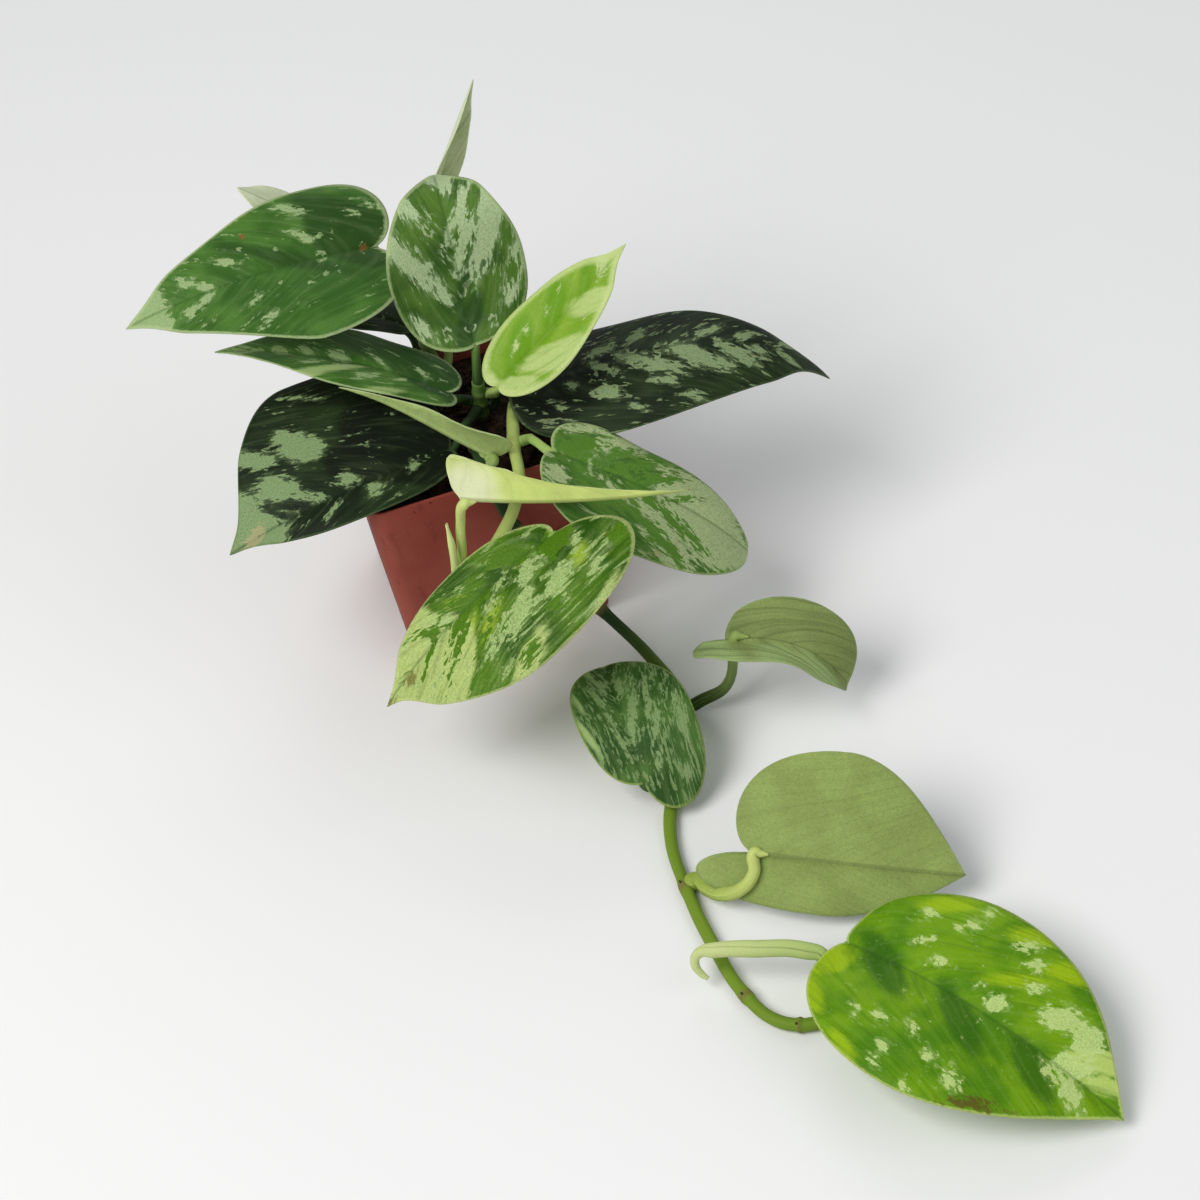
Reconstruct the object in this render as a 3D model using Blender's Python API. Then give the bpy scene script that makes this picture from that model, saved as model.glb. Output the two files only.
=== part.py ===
"""Satin pothos in a small square nursery pot, with one vine trailing along the surface.

Lengths in the tables are millimetres and are turned into metres by MM. The origin is the centre of
the pot's underside, +Z is up, and the vine trails towards -Y and +X.
"""
import math
from dataclasses import dataclass

import bmesh
import bpy
from mathutils import Matrix, Vector

MM = 0.001
TOUCH_GAP = 0.35 * MM

# Pot: a square nursery pot with a slight taper, turned a little about its own axis.
POT_SIDE = 90.0
POT_HEIGHT = 88.0
POT_TAPER_DEG = 2.5
POT_TURN_DEG = 8.0
POT_WALL = 1.4
POT_FLOOR = 2.0
POT_CORNER = 7.0
POT_CORNER_STEPS = 5
DRAIN_RADIUS = 4.0
DRAIN_REACH = 27.0
DRAIN_SIDES = 20
CUTTER_OVER = 5.0

# Soil: fills the pot to a little below the rim.
SOIL_TOP = 80.0
HOLE_GAP = 0.4
HOLE_KNOTS = 4

# Stems and petioles.
STEM_SIDES = 2
STEM_STEPS = 4
PETIOLE_RADIUS = 1.7
PETIOLE_STEPS = 3
PETIOLE_LEAD = 2.5
PETIOLE_SINK = 5.0
PETIOLE_DROP = 0.6
PETIOLE_FLARE = 1.15
PETIOLE_TAPER = 0.6

# Leaf blades.
BLADE_THICKNESS = 0.9
BLADE_ROWS = 12
BLADE_COLUMNS = 4
LOBE_ROWS = 5
ROW_EASE = 1.25
SWEEP_EASE = 1.2

# Blade outline: how far the lobes' handles reach back, and the handles of the long side.
LOBE_PULL = -1.45
SINUS_WIDTH = 0.10
SHOULDER = 0.42
TIP_HANDLE = (0.87, 0.40)


@dataclass(frozen=True)
class Stem:
    """A stem: its centre line from the root end to the tip, through knots, and its radius."""

    name: str
    finish: str
    points: tuple
    radius: float


@dataclass(frozen=True)
class Leaf:
    """A leaf: its petiole's route from a stem, and its blade from base to tip.

    right and left are the half widths on each side of the midrib, seen from above with the tip ahead.
    roll turns the blade about its chord, arch lifts the midrib as a share of the length, highest at
    peak, and fold raises a half at the midrib, with cup bending it on towards the margin.
    """

    name: str
    finish: str
    stem: Stem
    knot: int
    leave: tuple
    route: tuple
    base: tuple
    tip: tuple
    right: float
    left: float
    roll: float = 0.0
    arch: float = 0.06
    peak: float = 0.5
    fold: float = 12.0
    fold_left: float = 12.0
    cup: float = -20.0
    cup_left: float = -20.0
    lobe: float = 0.12
    lobe_left: float = 0.12
    widest: float = 0.34
    widest_left: float = 0.34


@dataclass(frozen=True)
class Shoot:
    """A rolled leaf or a bud: a tapered tube that leaves its stem at a knot."""

    name: str
    finish: str
    stem: Stem
    knot: int
    leave: tuple
    points: tuple
    radii: tuple


TRAILING_VINE = Stem(
    "trailing_vine",
    "stem_dark",
    (
        (4, -8, 58), (5, -12, 80), (7, -27, 92), (9, -42, 93.5), (11.5, -49.5, 84),
        (16, -49.5, 67), (27, -49, 44), (41, -52, 18.5), (57.5, -73, 4.4), (66.5, -103, 2.8),
        (64, -124, 2.8), (54, -146, 2.8), (49.5, -168, 2.8), (51, -193, 2.8), (56, -222, 2.8),
        (64, -250, 2.8), (72, -262.5, 2.8), (80, -267, 3.0), (86, -268, 3.2),
    ),
    2.4,
)
YOUNG_SHOOT = Stem(
    "young_shoot",
    "stem_pale",
    ((24, 14, 58), (25, 8, 80), (24, -8, 90), (22, -33, 95), (20, -56, 90), (8, -65, 75),
     (1.5, -65.5, 68), (-4.5, -65.8, 60.5), (-10, -66, 53.5), (-11, -66, 52.2)),
    2.4,
)
CROWN_STEM = Stem(
    "crown_stem",
    "stem_green",
    ((13, 8, 58), (12.5, 5, 78), (12, 3, 84.5), (12, 1.5, 90.5), (12.5, 0, 97), (13, -1, 103)),
    2.5,
)
BACK_STEM = Stem(
    "back_stem",
    "stem_green",
    ((-4, 31, 58), (-4, 30, 78), (-4, 30, 86), (-4, 29.5, 95), (-4.5, 29, 104), (-5, 29, 112)),
    2.5,
)
STEMS = (TRAILING_VINE, YOUNG_SHOOT, CROWN_STEM, BACK_STEM)

# Each leaf leaves its stem at a knot, in the direction leave, and follows route to the blade's base.
LEAVES = (
    Leaf("leaf_01_upper_left", "leaf_green", BACK_STEM, 5, (0, 0, 1), ((-8, 33, 124), (-13, 36, 137)),
         (-16, 36, 150), (-116, 20, 148), 37, 35, roll=-20, arch=0.07, lobe=0.06, lobe_left=0.08,
         widest=0.24, widest_left=0.26),
    Leaf("leaf_02_top", "leaf_green", CROWN_STEM, 5, (0, 0, 1), ((14, -1, 112),),
         (15, 0, 120), (13, 51, 167), 27, 27, arch=0.42, peak=0.74, lobe=0.06, lobe_left=0.06,
         widest=0.42, widest_left=0.42),
    Leaf("leaf_03_young", "leaf_young", CROWN_STEM, 4, (1, -0.3, 0), ((17, -9, 103),),
         (21, -16, 111), (80, 0, 153), 17, 16, roll=35, arch=-0.04, fold=30, fold_left=10, lobe=0.03,
         lobe_left=0.05),
    Leaf("leaf_04_right", "leaf_dark", CROWN_STEM, 2, (1, 0.5, 0), ((20, 3, 93),),
         (29, -3.5, 101.5), (150, -8.5, 73.5), 33, 27, roll=8, arch=0.17, peak=0.62, fold=-2, fold_left=-5,
         lobe=0.05, lobe_left=0.04, widest=0.28, widest_left=0.22),
    Leaf("leaf_05_lower_left", "leaf_dark", CROWN_STEM, 3, (-0.6, -1, 0), ((4, -14, 93),),
         (-3, -27, 94), (-94, -50, 84), 53, 15, roll=-20, arch=0.06, lobe=0.05, lobe_left=0.03,
         widest=0.5),
    Leaf("leaf_06_left", "leaf_green", CROWN_STEM, 3, (-1, 0.5, 0), (),
         (1, -7, 106), (-85, 15, 132), 24, 20, roll=12, arch=0.06, lobe=0.06, lobe_left=0.06),
    Leaf("leaf_07_pale_left", "leaf_pale", TRAILING_VINE, 2, (0.3, 0, 1), ((9, -33, 98),),
         (11, -38, 100), (-38, -28, 136), 16, 16, roll=30, arch=0.04, fold=40, fold_left=40, lobe=0.06,
         lobe_left=0.06),
    Leaf("leaf_08_folded", "leaf_pale", YOUNG_SHOOT, 7, (-1, 0.5, 0.8), ((-6, -66, 78),),
         (-1, -72, 107), (84, -84, 98), 17, 17, roll=-61, arch=-0.03, fold=50, fold_left=50, cup=45,
         cup_left=45, widest=0.15, widest_left=0.15),
    Leaf("leaf_09_right_front", "leaf_silver", YOUNG_SHOOT, 3, (1, 0, 0.2), ((30, -41, 101),),
         (37, -49.5, 101), (100, -67.5, 37), 39, 18, roll=4, arch=0.18, peak=0.72, fold=5, lobe=0.05,
         lobe_left=0.08, widest=0.5, widest_left=0.45),
    Leaf("leaf_10_front", "leaf_bright", YOUNG_SHOOT, 6, (0.2, -1, 0), ((4, -79, 63), (20, -84, 78)),
         (30, -84, 90.5), (-46, -106, 41), 16, 42, roll=-15, arch=0.08, lobe=0.02, lobe_left=0.22,
         widest=0.5),
    Leaf("leaf_11_vine", "leaf_green", TRAILING_VINE, 11, (-1, 0, 0.6), (),
         (44, -148, 14), (38, -98, 30), 27, 18, arch=0.12, lobe=0.25, lobe_left=0.0, widest_left=0.6),
    Leaf("leaf_12_vine", "leaf_back", TRAILING_VINE, 9, (1, 0, 0.4), ((83, -106, 14),),
         (89, -107, 38), (131, -121, 15), 20, 16, roll=180, arch=-0.2, fold=-30, fold_left=-8,
         widest=0.5, lobe_left=0.3),
    Leaf("leaf_13_vine", "leaf_back", TRAILING_VINE, 13, (1, 0, 0.3), ((64, -204, 5), (72, -205, 11)),
         (77, -200, 22), (150, -225, 14), 40, 20, roll=-135, arch=-0.06, widest=0.42, lobe_left=0.24),
    Leaf("leaf_14_vine_end", "leaf_bright", TRAILING_VINE, 18, (1, 0, 0), ((96, -262, 9),),
         (102, -248, 19), (177, -337, 6), 43, 41, arch=0.08, lobe=0.03, lobe_left=0.03, widest=0.42,
         widest_left=0.42),
    Leaf("leaf_16_back", "leaf_dark", BACK_STEM, 3, (-1, 0.4, 0), ((-9, 36, 99),),
         (-11, 41, 105), (-62, 62, 112), 16, 12, roll=10, arch=0.06, lobe=0.06, lobe_left=0.06),
    Leaf("leaf_17_behind", "leaf_back", BACK_STEM, 4, (-0.3, 1, 0), ((-4, 46, 113), (-14, 62, 123)),
         (-20, 66, 128), (-66, 64, 170), 14, 14, roll=180, arch=0.0),
    Leaf("leaf_18_spike", "leaf_back", BACK_STEM, 2, (0.8, 0.6, 0), ((3, 40, 92), (-1, 56, 104)),
         (-5, 66, 120), (36, 68, 195), 12, 12, roll=140, arch=0.0, fold=28, fold_left=28, lobe=0.03,
         lobe_left=0.03),
)

SHOOTS = (
    Shoot("leaf_15_rolled", "leaf_pale", TRAILING_VINE, 17, (0, 0.5, 1),
          ((88, -258, 13), (93, -251, 17), (87, -247.5, 19), (70, -242, 19), (56, -237.5, 17.5),
           (50.5, -236, 16), (48.5, -237, 12.5), (50, -239, 8), (52, -240.5, 6.5)),
          (1.6, 1.6, 1.8, 2.8, 3.3, 3.3, 3.0, 2.2, 1.6, 1.2, 0.7)),
    Shoot("sheath_bud", "leaf_pale", YOUNG_SHOOT, 8, (-1, -1.2, 0.8),
          ((-13.5, -71, 66), (-12.5, -71, 78), (-11, -71, 89)),
          (1.6, 1.7, 1.9, 1.6, 0.6)),
)


def principled(name, colour, roughness):
    """Make a plain Principled material."""
    material = bpy.data.materials.new(name)
    material.use_nodes = True
    shader = material.node_tree.nodes["Principled BSDF"]
    shader.inputs["Base Color"].default_value = (*colour, 1.0)
    shader.inputs["Roughness"].default_value = roughness
    material.diffuse_color = (*colour, 1.0)
    return material


def make_finishes():
    """Make every finish once."""
    return {
        "pot": principled("pot_plastic", (0.28, 0.062, 0.042), 0.55),
        "soil": principled("potting_soil", (0.020, 0.012, 0.008), 0.95),
        "stem_dark": principled("stem_dark", (0.055, 0.12, 0.035), 0.45),
        "stem_green": principled("stem_green", (0.10, 0.18, 0.05), 0.45),
        "stem_pale": principled("stem_pale", (0.42, 0.55, 0.20), 0.45),
        "leaf_green": principled("leaf_green", (0.05, 0.15, 0.04), 0.45),
        "leaf_dark": principled("leaf_dark", (0.02, 0.05, 0.02), 0.45),
        "leaf_silver": principled("leaf_silver", (0.20, 0.32, 0.18), 0.45),
        "leaf_bright": principled("leaf_bright", (0.13, 0.30, 0.03), 0.45),
        "leaf_young": principled("leaf_young", (0.30, 0.48, 0.08), 0.45),
        "leaf_pale": principled("leaf_pale", (0.52, 0.62, 0.28), 0.5),
        "leaf_back": principled("leaf_back", (0.20, 0.30, 0.12), 0.6),
    }


def add_object(name, mesh, collection, material):
    """Link a mesh as a named object with one material."""
    mesh.name = name
    mesh.materials.clear()
    mesh.materials.append(material)
    piece = bpy.data.objects.new(name, mesh)
    collection.objects.link(piece)
    return piece


def evaluated_mesh(piece):
    """Return an object's mesh with its modifiers applied."""
    graph = bpy.context.evaluated_depsgraph_get()
    return bpy.data.meshes.new_from_object(piece.evaluated_get(graph))


def join_solids(body, other, operation):
    """Apply a Boolean of other to body, and remove other."""
    modifier = body.modifiers.new(operation.lower(), "BOOLEAN")
    modifier.object = other
    modifier.operation = operation
    modifier.solver = "EXACT"
    mesh = evaluated_mesh(body)
    body.modifiers.clear()
    body.data = mesh
    bpy.data.objects.remove(other)


def tube(name, points, radii, steps, collection, material):
    """Make a closed tube through points, with a radius at each point."""
    curve = bpy.data.curves.new(name, "CURVE")
    curve.dimensions = "3D"
    curve.bevel_depth = MM
    curve.bevel_resolution = STEM_SIDES
    curve.use_fill_caps = True
    curve.resolution_u = steps
    spline = curve.splines.new("BEZIER")
    spline.bezier_points.add(len(points) - 1)
    for knot, point, radius in zip(spline.bezier_points, points, radii):
        knot.co = Vector(point) * MM
        knot.handle_left_type = "AUTO"
        knot.handle_right_type = "AUTO"
        knot.radius = radius
    draft = bpy.data.objects.new(name + "_curve", curve)
    collection.objects.link(draft)
    mesh = evaluated_mesh(draft)
    bpy.data.objects.remove(draft)
    shape = bmesh.new()
    shape.from_mesh(mesh)
    bmesh.ops.remove_doubles(shape, verts=shape.verts, dist=0.01 * MM)
    bmesh.ops.recalc_face_normals(shape, faces=shape.faces)
    shape.to_mesh(mesh)
    shape.free()
    piece = add_object(name, mesh, collection, material)
    mesh.shade_smooth()
    return piece


def leaving(stem, knot, leave):
    """Start of a side growth just clear of its stem, and its first direction.

    The direction is square to the stem, or along it at the stem's last knot.
    """
    points = [Vector(point) for point in stem.points]
    last = len(points) - 1
    along = (points[min(knot + 1, last)] - points[knot - 1]).normalized()
    gap = TOUCH_GAP / MM
    if knot == last:
        return points[knot] + along * gap, along
    leave = Vector(leave)
    leave = (leave - along * leave.dot(along)).normalized()
    return points[knot] + leave * (stem.radius + gap), leave


def bezier(ends, t):
    """Point of a plane cubic curve."""
    weights = ((1 - t) ** 3, 3 * t * (1 - t) ** 2, 3 * t * t * (1 - t), t ** 3)
    return tuple(sum(w * p[axis] for w, p in zip(weights, ends)) for axis in range(2))


def half_outline(lobe, widest):
    """Heart-shaped outline of half a blade, from the sinus round the lobe to the tip.

    Each point is a distance along the midrib, as a share of the length, and a distance from it, as a
    share of the half width.
    """
    back = LOBE_PULL * lobe
    shoulder = widest + SHOULDER * (1 - widest)
    round_lobe = ((0, 0), (back, SINUS_WIDTH), (back, 1.0), (widest, 1.0))
    long_side = ((widest, 1.0), (shoulder, 1.0), TIP_HANDLE, (1, 0))
    side_rows = BLADE_ROWS - LOBE_ROWS
    points = [bezier(round_lobe, i / LOBE_ROWS) for i in range(LOBE_ROWS)]
    return points + [bezier(long_side, i / side_rows) for i in range(side_rows + 1)]


class BladeForm:
    """The curved sheet that a blade follows."""

    def __init__(self, leaf):
        self.leaf = leaf
        self.base = Vector(leaf.base)
        chord = Vector(leaf.tip) - self.base
        self.length = chord.length
        self.axis = chord.normalized()
        upright = Vector((0, 0, 1))
        face = (upright - self.axis * upright.dot(self.axis)).normalized()
        self.face = Matrix.Rotation(math.radians(leaf.roll), 3, self.axis) @ face
        self.side = self.axis.cross(self.face)

    def midrib(self, s):
        """Point of the midrib at the share s of its length."""
        leaf = self.leaf
        inside = min(max(s, 0.0), 1.0)
        low = max(1.0, leaf.peak / (1 - leaf.peak))
        high = max(1.0, (1 - leaf.peak) / leaf.peak)
        top = (leaf.peak ** low) * ((1 - leaf.peak) ** high)
        rise = leaf.arch * inside ** low * (1 - inside) ** high / top
        return self.base + self.length * (self.axis * s + self.face * rise)

    def frame(self, s):
        """Tangent, side and normal of the sheet at s."""
        step = 0.01
        inside = min(max(s, step), 1 - step)
        along = (self.midrib(inside + step) - self.midrib(inside - step)).normalized()
        normal = (self.face - along * self.face.dot(along)).normalized()
        return along, along.cross(normal), normal

    def point(self, s, out):
        """Point of the sheet: out is a signed share of the half width on its side."""
        leaf = self.leaf
        along, side, normal = self.frame(s)
        start = self.midrib(max(s, 0.0)) + along * self.length * min(s, 0.0)
        half, fold, cup = leaf.left, leaf.fold_left, leaf.cup_left
        if out > 0:
            half, fold, cup = leaf.right, leaf.fold, leaf.cup
        reach = abs(out)
        bend = math.radians(cup) * reach
        slope = math.radians(fold) + bend / 2
        chord = reach * half * (1 - bend * bend / 24)
        return start + side * math.copysign(math.cos(slope) * chord, out) + normal * math.sin(slope) * chord


def blade_sheet(leaf, rows, columns):
    """Rows of points over the whole blade, from the left margin to the right one."""
    form = BladeForm(leaf)
    left = half_outline(leaf.lobe_left, leaf.widest_left)
    right = half_outline(leaf.lobe, leaf.widest)
    sheet = []
    for i in range(rows + 1):
        rib_s = (i / rows) ** ROW_EASE
        row = []
        for j in range(-columns, columns + 1):
            edge_s, edge_w = left[i] if j < 0 else right[i]
            share = abs(j) / columns
            s = rib_s + (edge_s - rib_s) * share ** SWEEP_EASE
            row.append(form.point(s, math.copysign(edge_w * share, j)))
        sheet.append(row)
    return sheet


def blade_mesh(leaf):
    """Closed blade of even thickness, with both faces split into triangles alike."""
    sheet = blade_sheet(leaf, BLADE_ROWS, BLADE_COLUMNS)
    shape = bmesh.new()
    width = 2 * BLADE_COLUMNS
    grid = []
    for i, row in enumerate(sheet):
        if i in (0, BLADE_ROWS):
            vertex = shape.verts.new(row[BLADE_COLUMNS] * MM)
            grid.append([vertex] * (width + 1))
        else:
            grid.append([shape.verts.new(point * MM) for point in row])
    for i in range(BLADE_ROWS):
        for j in range(width):
            a, b = grid[i][j], grid[i][j + 1]
            c, d = grid[i + 1][j + 1], grid[i + 1][j]
            corners = ((a, b, c), (a, c, d)) if j < BLADE_COLUMNS else ((a, b, d), (b, c, d))
            for corner in corners:
                if len(set(corner)) == 3:
                    shape.faces.new(corner)
    shape.normal_update()
    thicken(shape, BLADE_THICKNESS * MM)
    mesh = bpy.data.meshes.new(leaf.name)
    shape.to_mesh(mesh)
    shape.free()
    return mesh


def thicken(shape, thickness):
    """Turn an open sheet of triangles into a closed solid, half its thickness to each side."""
    sheet_faces = list(shape.faces)
    sheet_verts = list(shape.verts)
    rim = [edge for edge in shape.edges if len(edge.link_faces) == 1]
    rim_loops = [edge.link_loops[0] for edge in rim]
    rim_pairs = [(loop.vert, loop.link_loop_next.vert) for loop in rim_loops]
    shift = {vertex: vertex.normal * thickness / 2 for vertex in sheet_verts}
    under = {vertex: shape.verts.new(vertex.co - shift[vertex]) for vertex in sheet_verts}
    for vertex in sheet_verts:
        vertex.co += shift[vertex]
    for face in sheet_faces:
        shape.faces.new([under[vertex] for vertex in reversed(face.verts)])
    for first, second in rim_pairs:
        shape.faces.new((second, first, under[first]))
        shape.faces.new((second, under[first], under[second]))


def make_leaf(leaf, collection, finishes):
    """Make one leaf: a blade grown together with its petiole."""
    material = finishes[leaf.finish]
    blade = add_object(leaf.name, blade_mesh(leaf), collection, material)
    along, _, normal = BladeForm(leaf).frame(0.0)
    start, leave = leaving(leaf.stem, leaf.knot, leaf.leave)
    base = Vector(leaf.base) - normal * PETIOLE_RADIUS * PETIOLE_DROP
    end = base + along * PETIOLE_SINK
    route = [start, start + leave * PETIOLE_LEAD, *map(Vector, leaf.route), base, end]
    radii = [PETIOLE_RADIUS] * len(route)
    radii[0] *= PETIOLE_FLARE
    radii[-1] *= PETIOLE_TAPER
    petiole = tube(leaf.name + "_petiole", route, radii, PETIOLE_STEPS, collection, material)
    join_solids(blade, petiole, "UNION")
    return blade


def make_shoot(shoot, collection, finishes):
    """Make one rolled leaf or bud."""
    start, leave = leaving(shoot.stem, shoot.knot, shoot.leave)
    route = [start, start + leave * PETIOLE_LEAD, *map(Vector, shoot.points)]
    return tube(shoot.name, route, shoot.radii, PETIOLE_STEPS, collection, finishes[shoot.finish])


def make_stem(stem, collection, finishes):
    """Make one stem."""
    radii = [stem.radius] * len(stem.points)
    return tube(stem.name, stem.points, radii, STEM_STEPS, collection, finishes[stem.finish])


def square_block(name, top_side, bottom_side, z_low, z_high, corner, collection, material):
    """A tapered square block with rounded upright edges, turned with the pot."""
    shape = bmesh.new()
    bmesh.ops.create_cube(shape, size=1.0)
    for vertex in shape.verts:
        side = top_side if vertex.co.z > 0 else bottom_side
        vertex.co.x *= side * MM
        vertex.co.y *= side * MM
        vertex.co.z = (z_high if vertex.co.z > 0 else z_low) * MM
    upright = [edge for edge in shape.edges if abs(edge.verts[0].co.z - edge.verts[1].co.z) > MM]
    bmesh.ops.bevel(shape, geom=upright, offset=corner * MM, segments=POT_CORNER_STEPS, profile=0.5,
                     affect="EDGES")
    bmesh.ops.rotate(shape, verts=shape.verts, matrix=Matrix.Rotation(math.radians(POT_TURN_DEG), 3, "Z"))
    mesh = bpy.data.meshes.new(name)
    shape.to_mesh(mesh)
    shape.free()
    return add_object(name, mesh, collection, material)


def pot_side_at(height):
    """Outer side of the pot at a height."""
    return POT_SIDE - 2 * (POT_HEIGHT - height) * math.tan(math.radians(POT_TAPER_DEG))


def make_pot(collection, finishes):
    """Make the pot: a thin tapered square wall and a flat floor with drain holes."""
    material = finishes["pot"]
    pot = square_block("pot", POT_SIDE, pot_side_at(0), 0, POT_HEIGHT, POT_CORNER, collection, material)
    top = POT_HEIGHT + CUTTER_OVER
    inner_top = pot_side_at(top) - 2 * POT_WALL
    inner_low = pot_side_at(POT_FLOOR) - 2 * POT_WALL
    inside = square_block("pot_inside", inner_top, inner_low, POT_FLOOR, top, POT_CORNER - POT_WALL,
                          collection, material)
    join_solids(pot, inside, "DIFFERENCE")
    for quarter in range(4):
        turn = math.radians(POT_TURN_DEG + 45 + 90 * quarter)
        place = Matrix.Translation((DRAIN_REACH * MM * math.cos(turn), DRAIN_REACH * MM * math.sin(turn), 0))
        shape = bmesh.new()
        bmesh.ops.create_cone(shape, cap_ends=True, segments=DRAIN_SIDES, radius1=DRAIN_RADIUS * MM,
                              radius2=DRAIN_RADIUS * MM, depth=CUTTER_OVER * MM, matrix=place)
        mesh = bpy.data.meshes.new("drain")
        shape.to_mesh(mesh)
        shape.free()
        drain = add_object("drain", mesh, collection, material)
        join_solids(pot, drain, "DIFFERENCE")
    return pot


def make_soil(collection, finishes):
    """Make the soil, with a plain hole for each stem."""
    material = finishes["soil"]
    gap = TOUCH_GAP / MM
    low = POT_FLOOR + gap
    top_side = pot_side_at(SOIL_TOP) - 2 * (POT_WALL + gap)
    low_side = pot_side_at(low) - 2 * (POT_WALL + gap)
    corner = POT_CORNER - POT_WALL
    soil = square_block("soil", top_side, low_side, low, SOIL_TOP, corner, collection, material)
    for stem in STEMS:
        radii = [stem.radius + HOLE_GAP] * HOLE_KNOTS
        foot = Vector(stem.points[0])
        below = foot + (foot - Vector(stem.points[1])).normalized() * HOLE_GAP
        route = (below, *stem.points[1:HOLE_KNOTS])
        cutter = tube(stem.name + "_hole", route, radii, STEM_STEPS, collection, material)
        join_solids(soil, cutter, "DIFFERENCE")
    return soil


def build():
    """Build the potted plant."""
    for old in list(bpy.data.objects):
        bpy.data.objects.remove(old)
    collection = bpy.data.collections.new("satin_pothos")
    bpy.context.scene.collection.children.link(collection)
    finishes = make_finishes()
    make_pot(collection, finishes)
    make_soil(collection, finishes)
    for stem in STEMS:
        make_stem(stem, collection, finishes)
    for leaf in LEAVES:
        make_leaf(leaf, collection, finishes)
    for shoot in SHOOTS:
        make_shoot(shoot, collection, finishes)


build()
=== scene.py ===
"""Looks of a satin pothos in a small square nursery pot, in metres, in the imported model's frame.

The leaves, stems and pot repeat the model's driving values in millimetres and are built finer, with
relief, veins, silver markings and margins. The camera and lights stand at the end of the file.
"""
import logging
import math
import random
from collections.abc import Callable, Sequence
from dataclasses import dataclass, replace
from enum import Enum

import bmesh
import bpy
from mathutils import Matrix, Vector, noise
from mathutils.geometry import interpolate_bezier


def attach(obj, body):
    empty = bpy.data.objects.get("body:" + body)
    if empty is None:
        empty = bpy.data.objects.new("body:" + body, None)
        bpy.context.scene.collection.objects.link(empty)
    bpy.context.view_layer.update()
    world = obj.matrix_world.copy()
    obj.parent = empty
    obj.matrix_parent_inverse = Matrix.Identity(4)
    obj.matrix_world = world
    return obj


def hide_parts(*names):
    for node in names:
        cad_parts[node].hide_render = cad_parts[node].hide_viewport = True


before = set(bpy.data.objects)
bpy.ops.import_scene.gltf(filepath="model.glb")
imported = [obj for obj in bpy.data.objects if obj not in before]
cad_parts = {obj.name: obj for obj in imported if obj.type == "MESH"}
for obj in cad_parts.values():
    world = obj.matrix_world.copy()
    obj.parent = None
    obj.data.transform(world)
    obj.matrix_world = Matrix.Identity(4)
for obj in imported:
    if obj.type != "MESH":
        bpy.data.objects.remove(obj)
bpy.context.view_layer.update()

log = logging.getLogger("satin_pothos")

MM = 0.001
BODY = "root"
LOW_GLOSS = 0.1
# In millimetres: from a stem's skin to the growth on it, and from one vein of a blade to the next.
TOUCH_GAP = 0.35
VEIN_PITCH = 5.2
Colour = tuple[float, float, float]
Triple = tuple[float, float, float]


def shade(red: int, green: int, blue: int) -> Colour:
    """Turn a colour seen on a screen into the linear colour that a shader takes.

    Args:
        red: its red, 0 to 255.
        green: its green.
        blue: its blue.

    Returns:
        The linear colour.
    """

    def linear(level: int) -> float:
        """Linear value of one screen level."""
        value = level / 255
        return value / 12.92 if value <= 0.04045 else ((value + 0.055) / 1.055) ** 2.4

    return linear(red), linear(green), linear(blue)


def tinted(colour: Colour, share: float) -> Colour:
    """A colour with its brightness multiplied, and no channel above 1."""
    return tuple(min(1.0, channel * share) for channel in colour)


def within(value: float, low: float = 0.0, high: float = 1.0) -> float:
    """The value, held between two limits."""
    return min(max(value, low), high)


def eased(share: float) -> float:
    """A share from 0 to 1 that starts and ends slowly."""
    return share * share * (3 - 2 * share)


def linked(name: str, data: bpy.types.ID) -> bpy.types.Object:
    """Add an object to the scene.

    Args:
        name: its name.
        data: the mesh, curve, light or camera that it shows.

    Returns:
        The object.
    """
    holder = bpy.data.objects.new(name, data)
    bpy.context.scene.collection.objects.link(holder)
    return holder


def bell(distance: float, width: float) -> float:
    """A smooth hump: 1 at distance 0, and 1 / e a width away from it."""
    return math.exp(-(distance / width) ** 2)


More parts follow.
